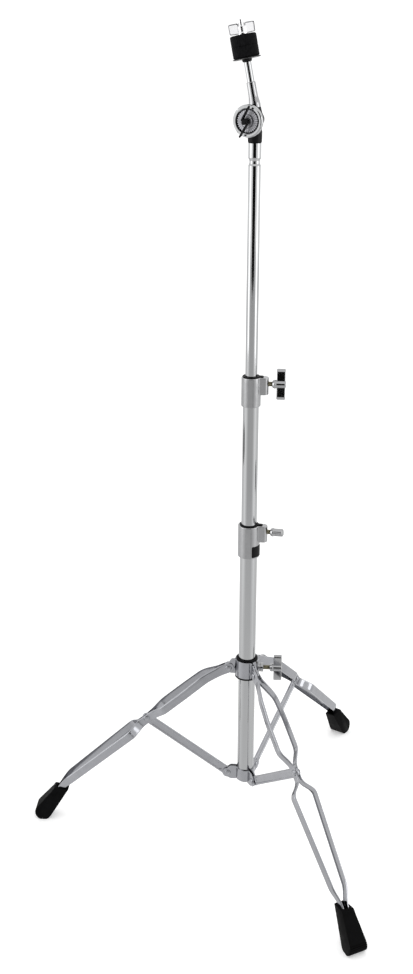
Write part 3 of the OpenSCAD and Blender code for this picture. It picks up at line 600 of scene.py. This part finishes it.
# ------------------------------------------------------------ leg strips ----
KNEE = (72, UPPER_Z - 19)
ANKLE = (316, LOWER_Z - 27.5)
TOE = (345, LOWER_Z - 69)
WEB = 15.0
FLANGE = 3.0
neck_in, neck_out = JOINT_R - 10, JOINT_R + 11
line = [(PIVOT_R, UPPER_Z), KNEE, (JOINT_R, JOINT_Z - 3), ANKLE, TOE]
s0 = (line[1][1] - line[0][1]) / (line[1][0] - line[0][0])
s1 = (TOE[1] - ANKLE[1]) / (TOE[0] - ANKLE[0])
line = [(PIVOT_R - 20, UPPER_Z - 20 * s0)] + line + [(TOE[0] + 20, TOE[1] + 20 * s1)]
half_width = [(PIVOT_R - 12, LUG_W), (PIVOT_R + 11, LUG_W), (76, 15.5), (104, 18), (144, 18), (neck_in, NECK_W),
              (neck_out, NECK_W), (197, 21.5), (313, 13.8), (326, 6.2), (400, 6)]
flange = [(PIVOT_R + 8, STRIP + 0.05), (PIVOT_R + 15, FLANGE), (neck_in - 6, FLANGE), (neck_in, STRIP + 0.05),
          (neck_out, STRIP + 0.05), (neck_out + 6, FLANGE), (313, FLANGE), (326, 2.5)]
web = [(PIVOT_R + 8, 2 * EAR_R - 0.5), (PIVOT_R + 20, WEB + 1), (100, WEB), (310, WEB), (328, 12.5)]


def lookup(x, table):
    if x <= table[0][0]:
        return table[0][1]
    for (a, u), (b, v) in zip(table, table[1:]):
        if x <= b:
            return u + (v - u) * (x - a) / (b - a)
    return table[-1][1]


def smooth(table, x, w):
    return sum(lookup(x + w * k / 4, table) for k in (-2, -1, 0, 1, 2)) / 5


def line_z(r):
    return smooth(line, r, 14)


def spread_at(r):
    return smooth(half_width, r, 8)


def strip_section(r):
    """Channel section [up the web, across the leg] with round corners and a pressed ridge."""
    if r < PIVOT_R:
        h = sqrt(max(EAR_R ** 2 - (PIVOT_R - r) ** 2, 2.25))
    else:
        h = smooth(web, r, 5) / 2
    q = spread_at(r)
    slope = spread_at(r + 0.5) - spread_at(r - 0.5)
    th = STRIP * min(sqrt(1 + slope * slope), 1.35)
    clear = LUG_W if r < 90 else NECK_W
    d = max(min(smooth(flange, r, 4), q - clear + STRIP + 0.05), th + 0.03)
    c = min(1.8, d * 0.6, h / 2)
    wall = min(STRIP, h / 3)
    ci = max(c - STRIP, 0.3)
    bump = 0.0
    if 70 < r < neck_in - 6:
        bump = 0.3 * min(1, (r - 70) / 12, (neck_in - 6 - r) / 12)
    if neck_out + 8 < r < 300:
        bump = 0.15 * min(1, (r - neck_out - 8) / 12, (300 - r) / 20)
    pts = [(-h, q - d), (-h, q - c)]
    for k in range(1, 5):
        t = radians(90) * k / 4
        pts.append((-h + c - c * cos(t), q - c + c * sin(t)))
    ridge = h * 0.34
    for u, b in ((-0.4 * h, 0), (ridge - 1.5, 0), (ridge - 0.7, 0.7), (ridge, 1), (ridge + 0.7, 0.7),
                 (ridge + 1.5, 0)):
        pts.append((u, q + b * bump))
    for k in range(0, 5):
        t = radians(90) * k / 4
        pts.append((h - c + c * sin(t), q - c + c * cos(t)))
    pts += [(h, q - d), (h - wall, q - d)]
    for k in range(3):
        t = radians(90) * k / 2
        pts.append((h - wall - ci + ci * cos(t), q - th - ci + ci * sin(t)))
    for k in range(3):
        t = radians(90) * k / 2
        pts.append((-h + wall + ci - ci * sin(t), q - th - ci + ci * cos(t)))
    pts.append((-h + wall, q - d))
    return pts


def strip_part(side):
    stations = [PIVOT_R - EAR_R + 0.8 + 0.55 * k for k in range(15)]
    r = PIVOT_R + 1
    while r < TOE[0]:
        stations.append(r)
        r += 1.6 if neck_in - 22 < r < neck_out + 24 or r < 80 or r > 296 else 4.0
    stations.append(TOE[0])
    rings = []
    for r in stations:
        g = line_z(r + 0.5) - line_z(r - 0.5)
        n = Vector((-g, 1)).normalized()
        z = line_z(r)
        rings.append([(r + n.x * u, side * v, z + n.y * u) for u, v in strip_section(r)])
    return loft(rings)


for k, t in TURNS.items():
    for side, word in ((1, "left"), (-1, "right")):
        piece(f"leg_{k}_strip_{word}", [strip_part(side)], toward(t), LEG, f"leg_{k}", crease=38)
    piece(f"leg_{k}_rivet", [rivet(JOINT_R, JOINT_Z, NECK_W + 0.05)], toward(t), LEG, f"leg_{k}")

# ------------------------------------------------------------------ feet ----
SOLE_R = 15.0
lo, hi = span("foot_1")
foot_r = AXIS_X - lo.x - SOLE_R
centre = Vector((foot_r, SOLE_R - 1))
top_in, top_out = Vector((316, LOWER_Z - 47)), Vector((340, LOWER_Z - 44))
TOP_W, SOLE_W = 10.0, 15.0


def touch(p, side):
    d = centre - p
    return degrees(atan2(-d.y, -d.x)) + side * degrees(acos(SOLE_R / d.length))


def foot_part():
    """Boot outline with a lip at the top and small treads, wider towards the sole."""
    first, last = touch(top_out, -1), touch(top_in, 1) - 360
    def on_sole(angle, r=SOLE_R):
        return centre + Vector((cos(radians(angle)), sin(radians(angle)))) * r

    pts = [top_in]
    across = (top_out - top_in).normalized()
    fall = (centre - (top_in + top_out) / 2).normalized()
    t_out = on_sole(first)
    down = (t_out - top_out).normalized()
    pts += fillet([top_in, top_out + across * 0.9, top_out + down * 5 + across * 0.9, top_out + down * 5.8, t_out],
                  [0, 2.6, 0.5, 0.2, 0], closed=False, n=4)[1:-1]
    angle = first
    while angle > 44:
        pts.append(on_sole(angle))
        angle -= 5
    tread = ((42, 0), (37.5, 0), (33.5, 0.15), (32.5, 1.2), (30.5, 1.2), (29.8, 0.15))
    for step in range(6):
        pts += [on_sole(a - 13 * step, SOLE_R - sunk) for a, sunk in tread]
    angle = -38
    while angle > last:
        p = on_sole(angle)
        pts.append(Vector((p.x, max(p.y, 0.0))))
        angle -= 6
    pts.append(on_sole(last))
    clean = []
    for p in pts:
        p = Vector(p)
        if not clean or (p - clean[-1]).length > 0.25:
            clean.append(p)
    middle = (top_in + top_out) / 2
    reach = (centre - middle).length

    def half(p):
        return TOP_W + (SOLE_W - TOP_W) * (p - middle).dot(fall) / reach

    heart = sum(clean, Vector((0, 0))) / len(clean)
    layers = []
    for out, inn in ((1.3, 0.0), (0.55, 0.3), (0.15, 0.8), (0.0, 1.5)):
        ring = []
        for p in clean:
            toward_in = heart - p
            q = p + toward_in.normalized() * out * min(1, toward_in.length / 30)
            ring.append((q.x, half(q) - inn, q.y))
        layers.append(ring)
    mirrored = [[(x, -y, z) for x, y, z in ring] for ring in reversed(layers)]
    return loft(layers + mirrored)


def add_pocket(me, place):
    """Sinks a socket into the boot's top, round the ends of the strips."""
    bm = bmesh.new()
    bm.from_mesh(me)
    middle = place @ Vector(((top_in.x + top_out.x) / 2, 0, (top_in.y + top_out.y) / 2)) * MM
    best = min(bm.faces, key=lambda f: (f.calc_center_median() - middle).length - f.calc_area() * 2)
    res = bmesh.ops.inset_region(bm, faces=[best], thickness=0.0026, depth=0, use_even_offset=True)
    res = bmesh.ops.extrude_face_region(bm, geom=[best])
    moved_verts = [g for g in res["geom"] if isinstance(g, bmesh.types.BMVert)]
    fall = (place.to_3x3() @ Vector((TOE[0] - ANKLE[0], 0, TOE[1] - ANKLE[1]))).normalized()
    bmesh.ops.translate(bm, verts=moved_verts, vec=fall * 0.016)
    bmesh.ops.delete(bm, geom=[best], context="FACES_ONLY")
    bmesh.ops.recalc_face_normals(bm, faces=bm.faces)
    bm.to_mesh(me)
    bm.free()


for k, t in TURNS.items():
    piece(f"foot_{k}", [foot_part()], toward(t), RUBBER, f"leg_{k}", crease=40, flat=False,
          edit=add_pocket)

# ---------------------------------------------------------------- tilter ----
HINGE = joint_at("cymbal_tilt")
N = joint_axis("cymbal_tilt")
ROD = joint_axis("upper_felt_slide")
tilt = axes(HINGE, N, (0, 0, 1))
arm = axes(HINGE, N, ROD)
EYE_BACK, MATE, CHEEK, CUP = -10.5, -3.5, 13.0, 29.0
EYE_R = 10.4
SNUG_R, HOLE_R = BOLT_R + 0.05, BOLT_R + 0.1
_, _hi = span("ratchet_cup")
CUP_R = _hi.z - HINGE.z
DROP = HINGE.z - SOCKET_Z


def rounded_box(wx, wy, r, cx=0.0, n=6):
    pts = [(cx - wx / 2, -wy / 2), (cx + wx / 2, -wy / 2), (cx + wx / 2, wy / 2), (cx - wx / 2, wy / 2)]
    return fillet(pts, r, n=n)


def section_loft(levels):
    """Levels of [z, width x, width y, corner radius, centre x]."""
    return loft([[(p[0], p[1], z) for p in rounded_box(wx, wy, min(r, wx / 2 - 0.01, wy / 2 - 0.01), cx)]
                 for z, wx, wy, r, cx in levels])


body_x = (MATE + 0.5 + CHEEK) / 2
body_w = CHEEK - MATE - 0.5
# Levels of the socket: height, width, depth, corner radius, centre.
socket = section_loft([
    (-DROP + 0.0, 19.2, 19.2, 9.6, 0), (-DROP + 0.5, 20.4, 20.4, 10.2, 0), (-DROP + 6, 21, 21, 10.5, 0),
    (-DROP + 12, 21.4, 21.4, 10.0, 0.6), (-DROP + 15, 20.4, 21.4, 7.5, 1.8),
    (-DROP + 18, body_w + 1, 21.2, 4.0, body_x), (-DROP + 20, body_w, 21, 2.4, body_x),
    (-2, body_w, 21.6, 2.0, body_x), (2, body_w, 21.0, 2.0, body_x)])
head = lathe([(HOLE_R, MATE + 0.5), (EYE_R, MATE + 0.5), (EYE_R, CHEEK), (HOLE_R, CHEEK)], [0, 1.0, 0.6, 0], 72,
             "X")
piece("tilter_socket", [socket, head], tilt, BLACK, "top_column", crease=40)

rim = CUP - 6
well = CUP_R - 5.8
verts, faces = lathe([
    (SNUG_R, CHEEK + 0.05), (EYE_R, CHEEK + 0.05), (EYE_R + 1.6, CHEEK + 1.4), (CUP_R - 3.2, rim - 2.6),
    (CUP_R - 0.4, rim - 0.4), (CUP_R, rim + 1), (CUP_R, CUP - 2.2), (CUP_R - 0.7, CUP - 0.6), (CUP_R - 2.0, CUP),
    (well + 1.2, CUP), (well, CUP - 1.2), (well, CUP - 5), (7.5, CUP - 5), (7.5, CHEEK + 2), (SNUG_R, CHEEK + 2)],
    [0, 0.5, 0.8, 2.2, 1.0, 0.8, 0.8, 0.9, 0.8, 0.5, 0.5, 0.6, 0.3, 0.3, 0], 128, "X", hollow=True)
dark = [int(max(hypot(*verts[i][1:]) for i in f) < well + 0.1 or min(verts[i][0] for i in f) < CUP - 5)
        for f in faces]
piece("ratchet_cup", [(verts, faces, dark)], tilt, [TUBE, BLACK], "top_column", crease=45)


def toothed_plate():
    """Disc with radial teeth round its front edge."""
    plate_r = well - 1.1
    teeth, per = 30, 6
    steps = teeth * per
    # Each level: radius, place along the axis, how much deeper it is between two teeth.
    levels = [(SNUG_R, CUP - 4.9, 0), (plate_r, CUP - 4.9, 0), (plate_r, CUP - 1.4, 0.5),
              (plate_r - 0.7, CUP - 0.7, 0.6), (plate_r - 5.6, CUP - 0.5, 0.6), (plate_r - 6.2, CUP - 0.6, 0),
              (plate_r - 7, CUP - 1.2, 0), (SNUG_R, CUP - 1.2, 0)]
    rings = []
    for r, x, cut in levels:
        ring = []
        for j in range(steps):
            a = 2 * pi * j / steps
            low = cut if j % per in (0, 1) else 0.0
            rr = r - (0.5 if low and r > plate_r - 1 else 0)
            ring.append((x - low, rr * cos(a), rr * sin(a)))
        rings.append(ring)
    return loft(rings, wrap=True)


piece("ratchet_plate", [toothed_plate()], tilt, PLATE_GREY, "top_column", crease=30, flat=False)


def coil(x0, x1, r, wire, turns_, steps=28, sides=10):
    """Round wire wound along X."""
    rings = []
    for i in range(int(turns_ * steps) + 1):
        a = 2 * pi * i / steps
        x = x0 + (x1 - x0) * i / (turns_ * steps)
        ring = []
        for j in range(sides):
            b = 2 * pi * j / sides
            rho = r + wire * cos(b)
            ring.append((x + wire * sin(b), rho * cos(a), rho * sin(a)))
        rings.append(ring)
    return loft(rings)


piece("tilter_spring", [coil(CHEEK + 3, CUP - 6, 5.8, 0.7, 3)], tilt, STEEL, "top_column")

hexagon = [(7.5 * cos(radians(60 * k)), 7.5 * sin(radians(60 * k))) for k in range(6)]
shank = lathe([(CORE, EYE_BACK - 0.2), (BOLT_R, EYE_BACK - 0.2), (BOLT_R, CUP - 8), (CORE, CUP - 8)], 0, 48, "X")
parts = [prism(hexagon, EYE_BACK - 5, EYE_BACK - 0.1, "yz"), shank, (*thread(CUP - 9, CUP + 11.4, BOLT_R), 1)]
piece("tilter_bolt", parts, tilt, [STEEL, BLACK], "top_column", bevel=0.5)

# Arm: round eye, neck that turns from flat to round, rim where the rod enters.
arm_x = (EYE_BACK + MATE) / 2
eye = lathe([(HOLE_R, EYE_BACK), (EYE_R, EYE_BACK), (EYE_R, MATE), (HOLE_R, MATE)], [0, 1.4, 0.8, 0], 96, "X")
depth = MATE - EYE_BACK
neck = section_loft([(*level, arm_x) for level in (
    (4, depth - 0.6, 19.5, 2.0), (8, depth - 0.4, 18.0, 2.6), (12, 12.0, 17.0, 5.0), (16, 15.2, 16.6, 7.4),
    (20, 16.8, 17.0, 8.4), (24, 16.2, 16.3, 8.1), (28, 14.8, 14.8, 7.4), (32, 13.9, 13.9, 6.94),
    (42, 13.3, 13.3, 6.64), (51, 13.2, 13.2, 6.6), (51.7, 12.8, 12.8, 6.4), (52, 11.8, 11.8, 5.9))])
dark = [int(max(neck[0][i][2] for i in f) < 17) for f in neck[1]]
piece("tilter_arm", [(*eye, 1), (*neck, dark)], arm, [CAST, BLACK], "tilter_arm", crease=45)

washer = lathe([(SNUG_R, CUP + 0.1), (8.5, CUP + 0.1), (8.5, CUP + 1.5), (SNUG_R, CUP + 1.5)], 0.35, 64, "X",
               hollow=True, n=2)
piece("tilter_washer", [washer], tilt, PLATE_GREY, "tilter_wing_nut")


def tilter_nut(hub, reach, thick, half_w, half_h):
    """Diamond hub with a thin flared wing on each side of it, out along X."""
    parts = []
    for s in (-1, 1):
        wing = fillet([(hub + 1.2, -1.4), (hub + 3.4, 6), (hub + 5.2, reach - 1.6), (hub + 8.4, reach),
                       (hub + 10.8, reach - 1.4), (hub + 10.2, 5), (hub + 9.2, -1.4)],
                      [0, 4, 1.6, 1.6, 1.6, 4, 0], n=4)
        side = s * half_w
        parts.append(prism([(x, -s * z) for x, z in wing], side - thick / 2, side + thick / 2, "xz"))
    rhomb = fillet([(0, -half_h), (half_w + 0.4, 0), (0, half_h), (-half_w - 0.4, 0)], 2.0, n=5)
    rows = ((0, 0.84), (0.5, 0.95), (1.4, 1.0), (8.6, 0.94), (9.8, 0.86), (10.4, 0.7))
    parts.append(loft([[(hub + x, y * k, z * k) for y, z in rhomb] for x, k in rows]))
    return parts


piece("tilter_wing_nut", tilter_nut(CUP + 1.6, 23.2, 1.9, 4.9, 6.4), roll(tilt, -31), BLACK, "tilter_wing_nut",
      bevel=0.45, segments=3)

# ----------------------------------------------------------- cymbal seat ----
rod_pts = local_points("cymbal_rod", arm)
rod_r = max(hypot(p.x - arm_x, p.y) for p in rod_pts)
stud_tip = max(p.z for p in rod_pts)
felt_pts = local_points("lower_felt", arm)
FELT_0 = min(p.z for p in felt_pts)
FELT_1 = max(p.z for p in felt_pts)
FELT_R = max(hypot(p.x - arm_x, p.y) for p in felt_pts)
seat = FELT_0 - 6
on_rod = arm @ Matrix.Translation((arm_x, 0, 0))
rod = lathe([(CORE, 34.2), (rod_r, 34.2), (rod_r, seat - 0.05), (4.2, seat), (BOLT_R, seat + 0.6),
             (CORE, seat + 0.6)], [0, 0.2, 0.7, 0.1, 0, 0], 96)
stud = thread(seat + 0.4, stud_tip - 0.4, BOLT_R, depth=0.08)
stud = ([(v[1], v[2], v[0]) for v in stud[0]], stud[1])
tip = lathe([(CORE, stud_tip - 1), (3.6, stud_tip - 1), (3.4, stud_tip - 0.3), (2.6, stud_tip), (CORE, stud_tip)],
            [0, 0, 0.3, 0.3, 0], 40)
piece("cymbal_rod", [(*rod, 0), (*stud, 1), (*tip, 1)], on_rod, [TUBE, BRIGHT], "tilter_arm")

RIM = 20.5
washer = lathe([(HOLE_R, seat + 0.1), (6.6, seat + 0.1), (7.5, FELT_0 - 2.4), (RIM - 3, FELT_0 - 2.2),
                (RIM, FELT_0 - 1.5), (RIM, FELT_0 - 0.5), (HOLE_R, FELT_0 - 0.5)],
               [0.2, 0.6, 0.6, 1.0, 0.3, 0.3, 0], 112, hollow=True, n=3)
piece("cup_washer", [washer], on_rod, BLACK, "tilter_arm")


def felt(node, z0, body, under, over):
    """Pressed felt washer: soft edges, slightly uneven, with fine loose fibres."""
    h = FELT_1 - FELT_0
    prof = fillet([(5.6, z0), (FELT_R, z0), (FELT_R, z0 + h), (5.6, z0 + h)], [0.8, under, over, 0.8], n=5)
    dense = []
    for (r0_, z0_), (r1_, z1_) in zip(prof, prof[1:] + prof[:1]):
        count = max(1, int(hypot(r1_ - r0_, z1_ - z0_) / 1.2))
        for k in range(count):
            dense.append((r0_ + (r1_ - r0_) * k / count, z0_ + (z1_ - z0_) * k / count))
    ob = piece(node, [turned(dense, 128, hollow=True)], on_rod, FELT, body, crease=80, flat=False)
    tex = bpy.data.textures.new(node + "_nap", "CLOUDS")
    tex.noise_scale = 0.0016
    tex.noise_depth = 3
    d = ob.modifiers.new("nap", "DISPLACE")
    d.texture = tex
    d.texture_coords = "LOCAL"
    d.strength = 0.0005
    d.mid_level = 0.5


felt("lower_felt", FELT_0, "tilter_arm", 1.8, 0.5)
felt("upper_felt", min(p.z for p in local_points("upper_felt", arm)), "upper_felt", 0.5, 2.2)

nut_pts = local_points("cymbal_wing_nut", arm)
NUT_0 = min(p.z for p in nut_pts)
NUT_1 = max(p.z for p in nut_pts)


def top_nut():
    """Round hub with two upright blades that have a raised rim."""
    h = NUT_1 - NUT_0
    hub = lathe([(HOLE_R, 0), (7.5, 0), (7.5, 2.4), (6.4, 3.2), (6.0, 11.4), (HOLE_R, 12)],
                [0, 0.6, 0.8, 0.6, 1.0, 0], 64)
    parts = [hub]
    for s in (-1, 1):
        blade = fillet([(s * 4.4, 1.2), (s * 18.8, 1.6), (s * 19.2, h - 0.2), (s * 5.0, h)],
                       [0.4, 1.6, 2.0, 2.0], n=5)
        mid = Vector((s * 12, h / 2))
        rings = []
        for k, t in ((0.80, 0.8), (0.84, 1.1), (0.88, 1.8), (0.96, 1.9), (1.0, 1.5)):
            rings.append([(t, mid.x + (x - mid.x) * k, mid.y + (z - mid.y) * k) for x, z in blade])
        rings += [[(-t, y, z) for t, y, z in ring] for ring in reversed(rings)]
        verts, faces = loft(rings)
        on_rim = [int(max(abs(verts[i][0]) for i in f) > 1.3) for f in faces]
        parts.append((verts, faces, on_rim))
    return parts


place = on_rod @ Matrix.Translation((0, 0, NUT_0)) @ Matrix.Rotation(radians(40), 4, "Z")
piece("cymbal_wing_nut", top_nut(), place, [BRIGHT, STEEL], "cymbal_wing_nut", crease=50)

# CAD solids that stay as they are get their own finish.
for name in ("mid_glide", "top_glide", "rod_sleeve"):
    ob = frame["nodes"][name]
    ob.data.materials.clear()
    ob.data.materials.append(NYLON)

# ----------------------------------------------------------------- stage ----
def card(name, size, place):
    """Flat sheet of the stage, in the object's own X and Y."""
    me = bpy.data.meshes.new(name)
    x, y = size[0] / 2, size[1] / 2
    me.from_pydata([(-x, -y, 0), (x, -y, 0), (x, y, 0), (-x, y, 0)], [], [(0, 1, 2, 3)])
    ob = bpy.data.objects.new(name, me)
    ob.matrix_world = place
    bpy.context.scene.collection.objects.link(ob)
    return ob


def reflector(name, size, place):
    """Card seen only in the chrome; returns its nodes and the glow's strength socket."""
    ob = card(name, size, place)
    ob.visible_camera = ob.visible_diffuse = ob.visible_shadow = False
    m = bpy.data.materials.new(name)
    m.use_nodes = True
    nt = m.node_tree
    nt.nodes.clear()
    glow = nt.nodes.new("ShaderNodeEmission")
    out = nt.nodes.new("ShaderNodeOutputMaterial")
    nt.links.new(glow.outputs["Emission"], out.inputs["Surface"])
    ob.data.materials.append(m)
    return nt, glow.inputs["Strength"]


def calc(nt, operation, *values):
    """Math node whose inputs are sockets or numbers; returns its output."""
    node = nt.nodes.new("ShaderNodeMath")
    node.operation = operation
    for socket, v in zip(node.inputs, values):
        if isinstance(v, (int, float)):
            socket.default_value = v
        else:
            nt.links.new(v, socket)
    return node.outputs["Value"]


floor_card = card("floor", (24, 24), Matrix.Translation((0.1, 0.4, 0)))
white = material("floor_white", (0.95, 0.95, 0.95), 0, 0.85, 0.02, 3, (1, 1, 1), 0.01, 0.0, 40, spec=0.0)
white.node_tree.nodes["Principled BSDF"].inputs["Emission Color"].default_value = (1, 1, 1, 1)
white.node_tree.nodes["Principled BSDF"].inputs["Emission Strength"].default_value = 0.25
floor_card.data.materials.append(white)
# What the chrome sees of the floor: darker in front, lighter at the sides, more so further out.
nt, strength = reflector("floor_glow", (9, 8.3), Matrix.Translation((AXIS_X * MM, 0, 0.002)))
coord = nt.nodes.new("ShaderNodeTexCoord")
split = nt.nodes.new("ShaderNodeSeparateXYZ")
nt.links.new(coord.outputs["Object"], split.inputs["Vector"])
turn = calc(nt, "ARCTAN2", split.outputs["X"], calc(nt, "MULTIPLY", split.outputs["Y"], -1.0))
away = calc(nt, "DIVIDE", calc(nt, "ABSOLUTE", turn), pi)
ramp = nt.nodes.new("ShaderNodeValToRGB")
ramp.color_ramp.interpolation = "EASE"
stops = ((0.0, 0.22), (0.17, 0.22), (0.30, 0.60), (0.40, 0.95), (0.50, 0.70), (0.66, 0.50), (1.0, 0.45))
ramp.color_ramp.elements[0].position, ramp.color_ramp.elements[1].position = stops[0][0], stops[-1][0]
for where, level in stops[1:-1]:
    ramp.color_ramp.elements.new(where)
for element, (where, level) in zip(ramp.color_ramp.elements, stops):
    element.color = (level, level, level, 1)
nt.links.new(away, ramp.inputs["Fac"])
far = nt.nodes.new("ShaderNodeVectorMath")
far.operation = "LENGTH"
nt.links.new(coord.outputs["Object"], far.inputs[0])
growth = calc(nt, "MINIMUM", calc(nt, "MULTIPLY", far.outputs["Value"], 0.62), 1.0)
lean = calc(nt, "MULTIPLY", calc(nt, "SUBTRACT", ramp.outputs["Color"], 0.5), growth)
nt.links.new(calc(nt, "ADD", lean, 0.97), strength)
upright = Matrix.Translation((0.1, -4.2, 1.7)) @ Matrix.Rotation(radians(90), 4, "X")
nt, strength = reflector("dark_front", (4.2, 3.4), upright)
strength.default_value = 0.008
# Two dark cards on the floor draw the short streaks on the middle tube.
for name, turn_, away_, size in (("dark_left", -106, 1.99, (1.4, 0.34)), ("dark_right", 95, 1.72, (0.6, 0.24))):
    facing = Matrix.Translation((AXIS_X * MM, 0, 0.006)) @ Matrix.Rotation(radians(turn_), 4, "Z")
    nt, strength = reflector(name, size, facing @ Matrix.Translation((0, -away_, 0)))
    strength.default_value = 0.3


def softbox(name, at, look, w, h, radiance):
    li = bpy.data.lights.new(name, "AREA")
    li.shape = "RECTANGLE"
    li.size, li.size_y = w, h
    li.energy = radiance * w * h * pi
    ob = bpy.data.objects.new(name, li)
    ob.location = at
    ob.rotation_mode = "QUATERNION"
    ob.rotation_quaternion = (Vector(look) - Vector(at)).to_track_quat("-Z", "Y")
    bpy.context.scene.collection.objects.link(ob)
    ob.visible_camera = ob.visible_diffuse = False


softbox("right_box", (2.9, -0.9, 1.0), (0.1, 0, 0.7), 1.5, 2.6, 1.7)
softbox("left_box", (-2.7, -1.0, 1.1), (0.1, 0, 0.7), 1.7, 2.6, 1.35)

world = bpy.data.worlds.new("studio")
bpy.context.scene.world = world
world.use_nodes = True
world.node_tree.nodes["Background"].inputs["Color"].default_value = (1, 1, 1, 1)
world.node_tree.nodes["Background"].inputs["Strength"].default_value = 1.1
bpy.context.scene.view_settings.view_transform = "Standard"
bpy.context.scene.view_settings.look = "None"

# ---------------------------------------------------------------- camera ----
cam_data = bpy.data.cameras.new("camera")
cam_data.sensor_width = 36.0
cam_data.lens = 46.29
cam_data.clip_start = 0.05
cam_data.clip_end = 60
cam = bpy.data.objects.new("camera", cam_data)
yaw, pitch, tip_roll = radians(-3.61), radians(21.67), radians(0.10)
fwd = Vector((sin(yaw) * cos(pitch), cos(yaw) * cos(pitch), -sin(pitch)))
right = Vector((cos(yaw), -sin(yaw), 0))
upward = right.cross(fwd)
right_r = cos(tip_roll) * right + sin(tip_roll) * upward
up_r = -sin(tip_roll) * right + cos(tip_roll) * upward
m = Matrix((right_r, up_r, -fwd)).transposed().to_4x4()
m.translation = Vector((AXIS_X * MM + 0.0487, -1.8727, 1.3921))
cam.matrix_world = m
bpy.context.scene.collection.objects.link(cam)
bpy.context.scene.camera = cam
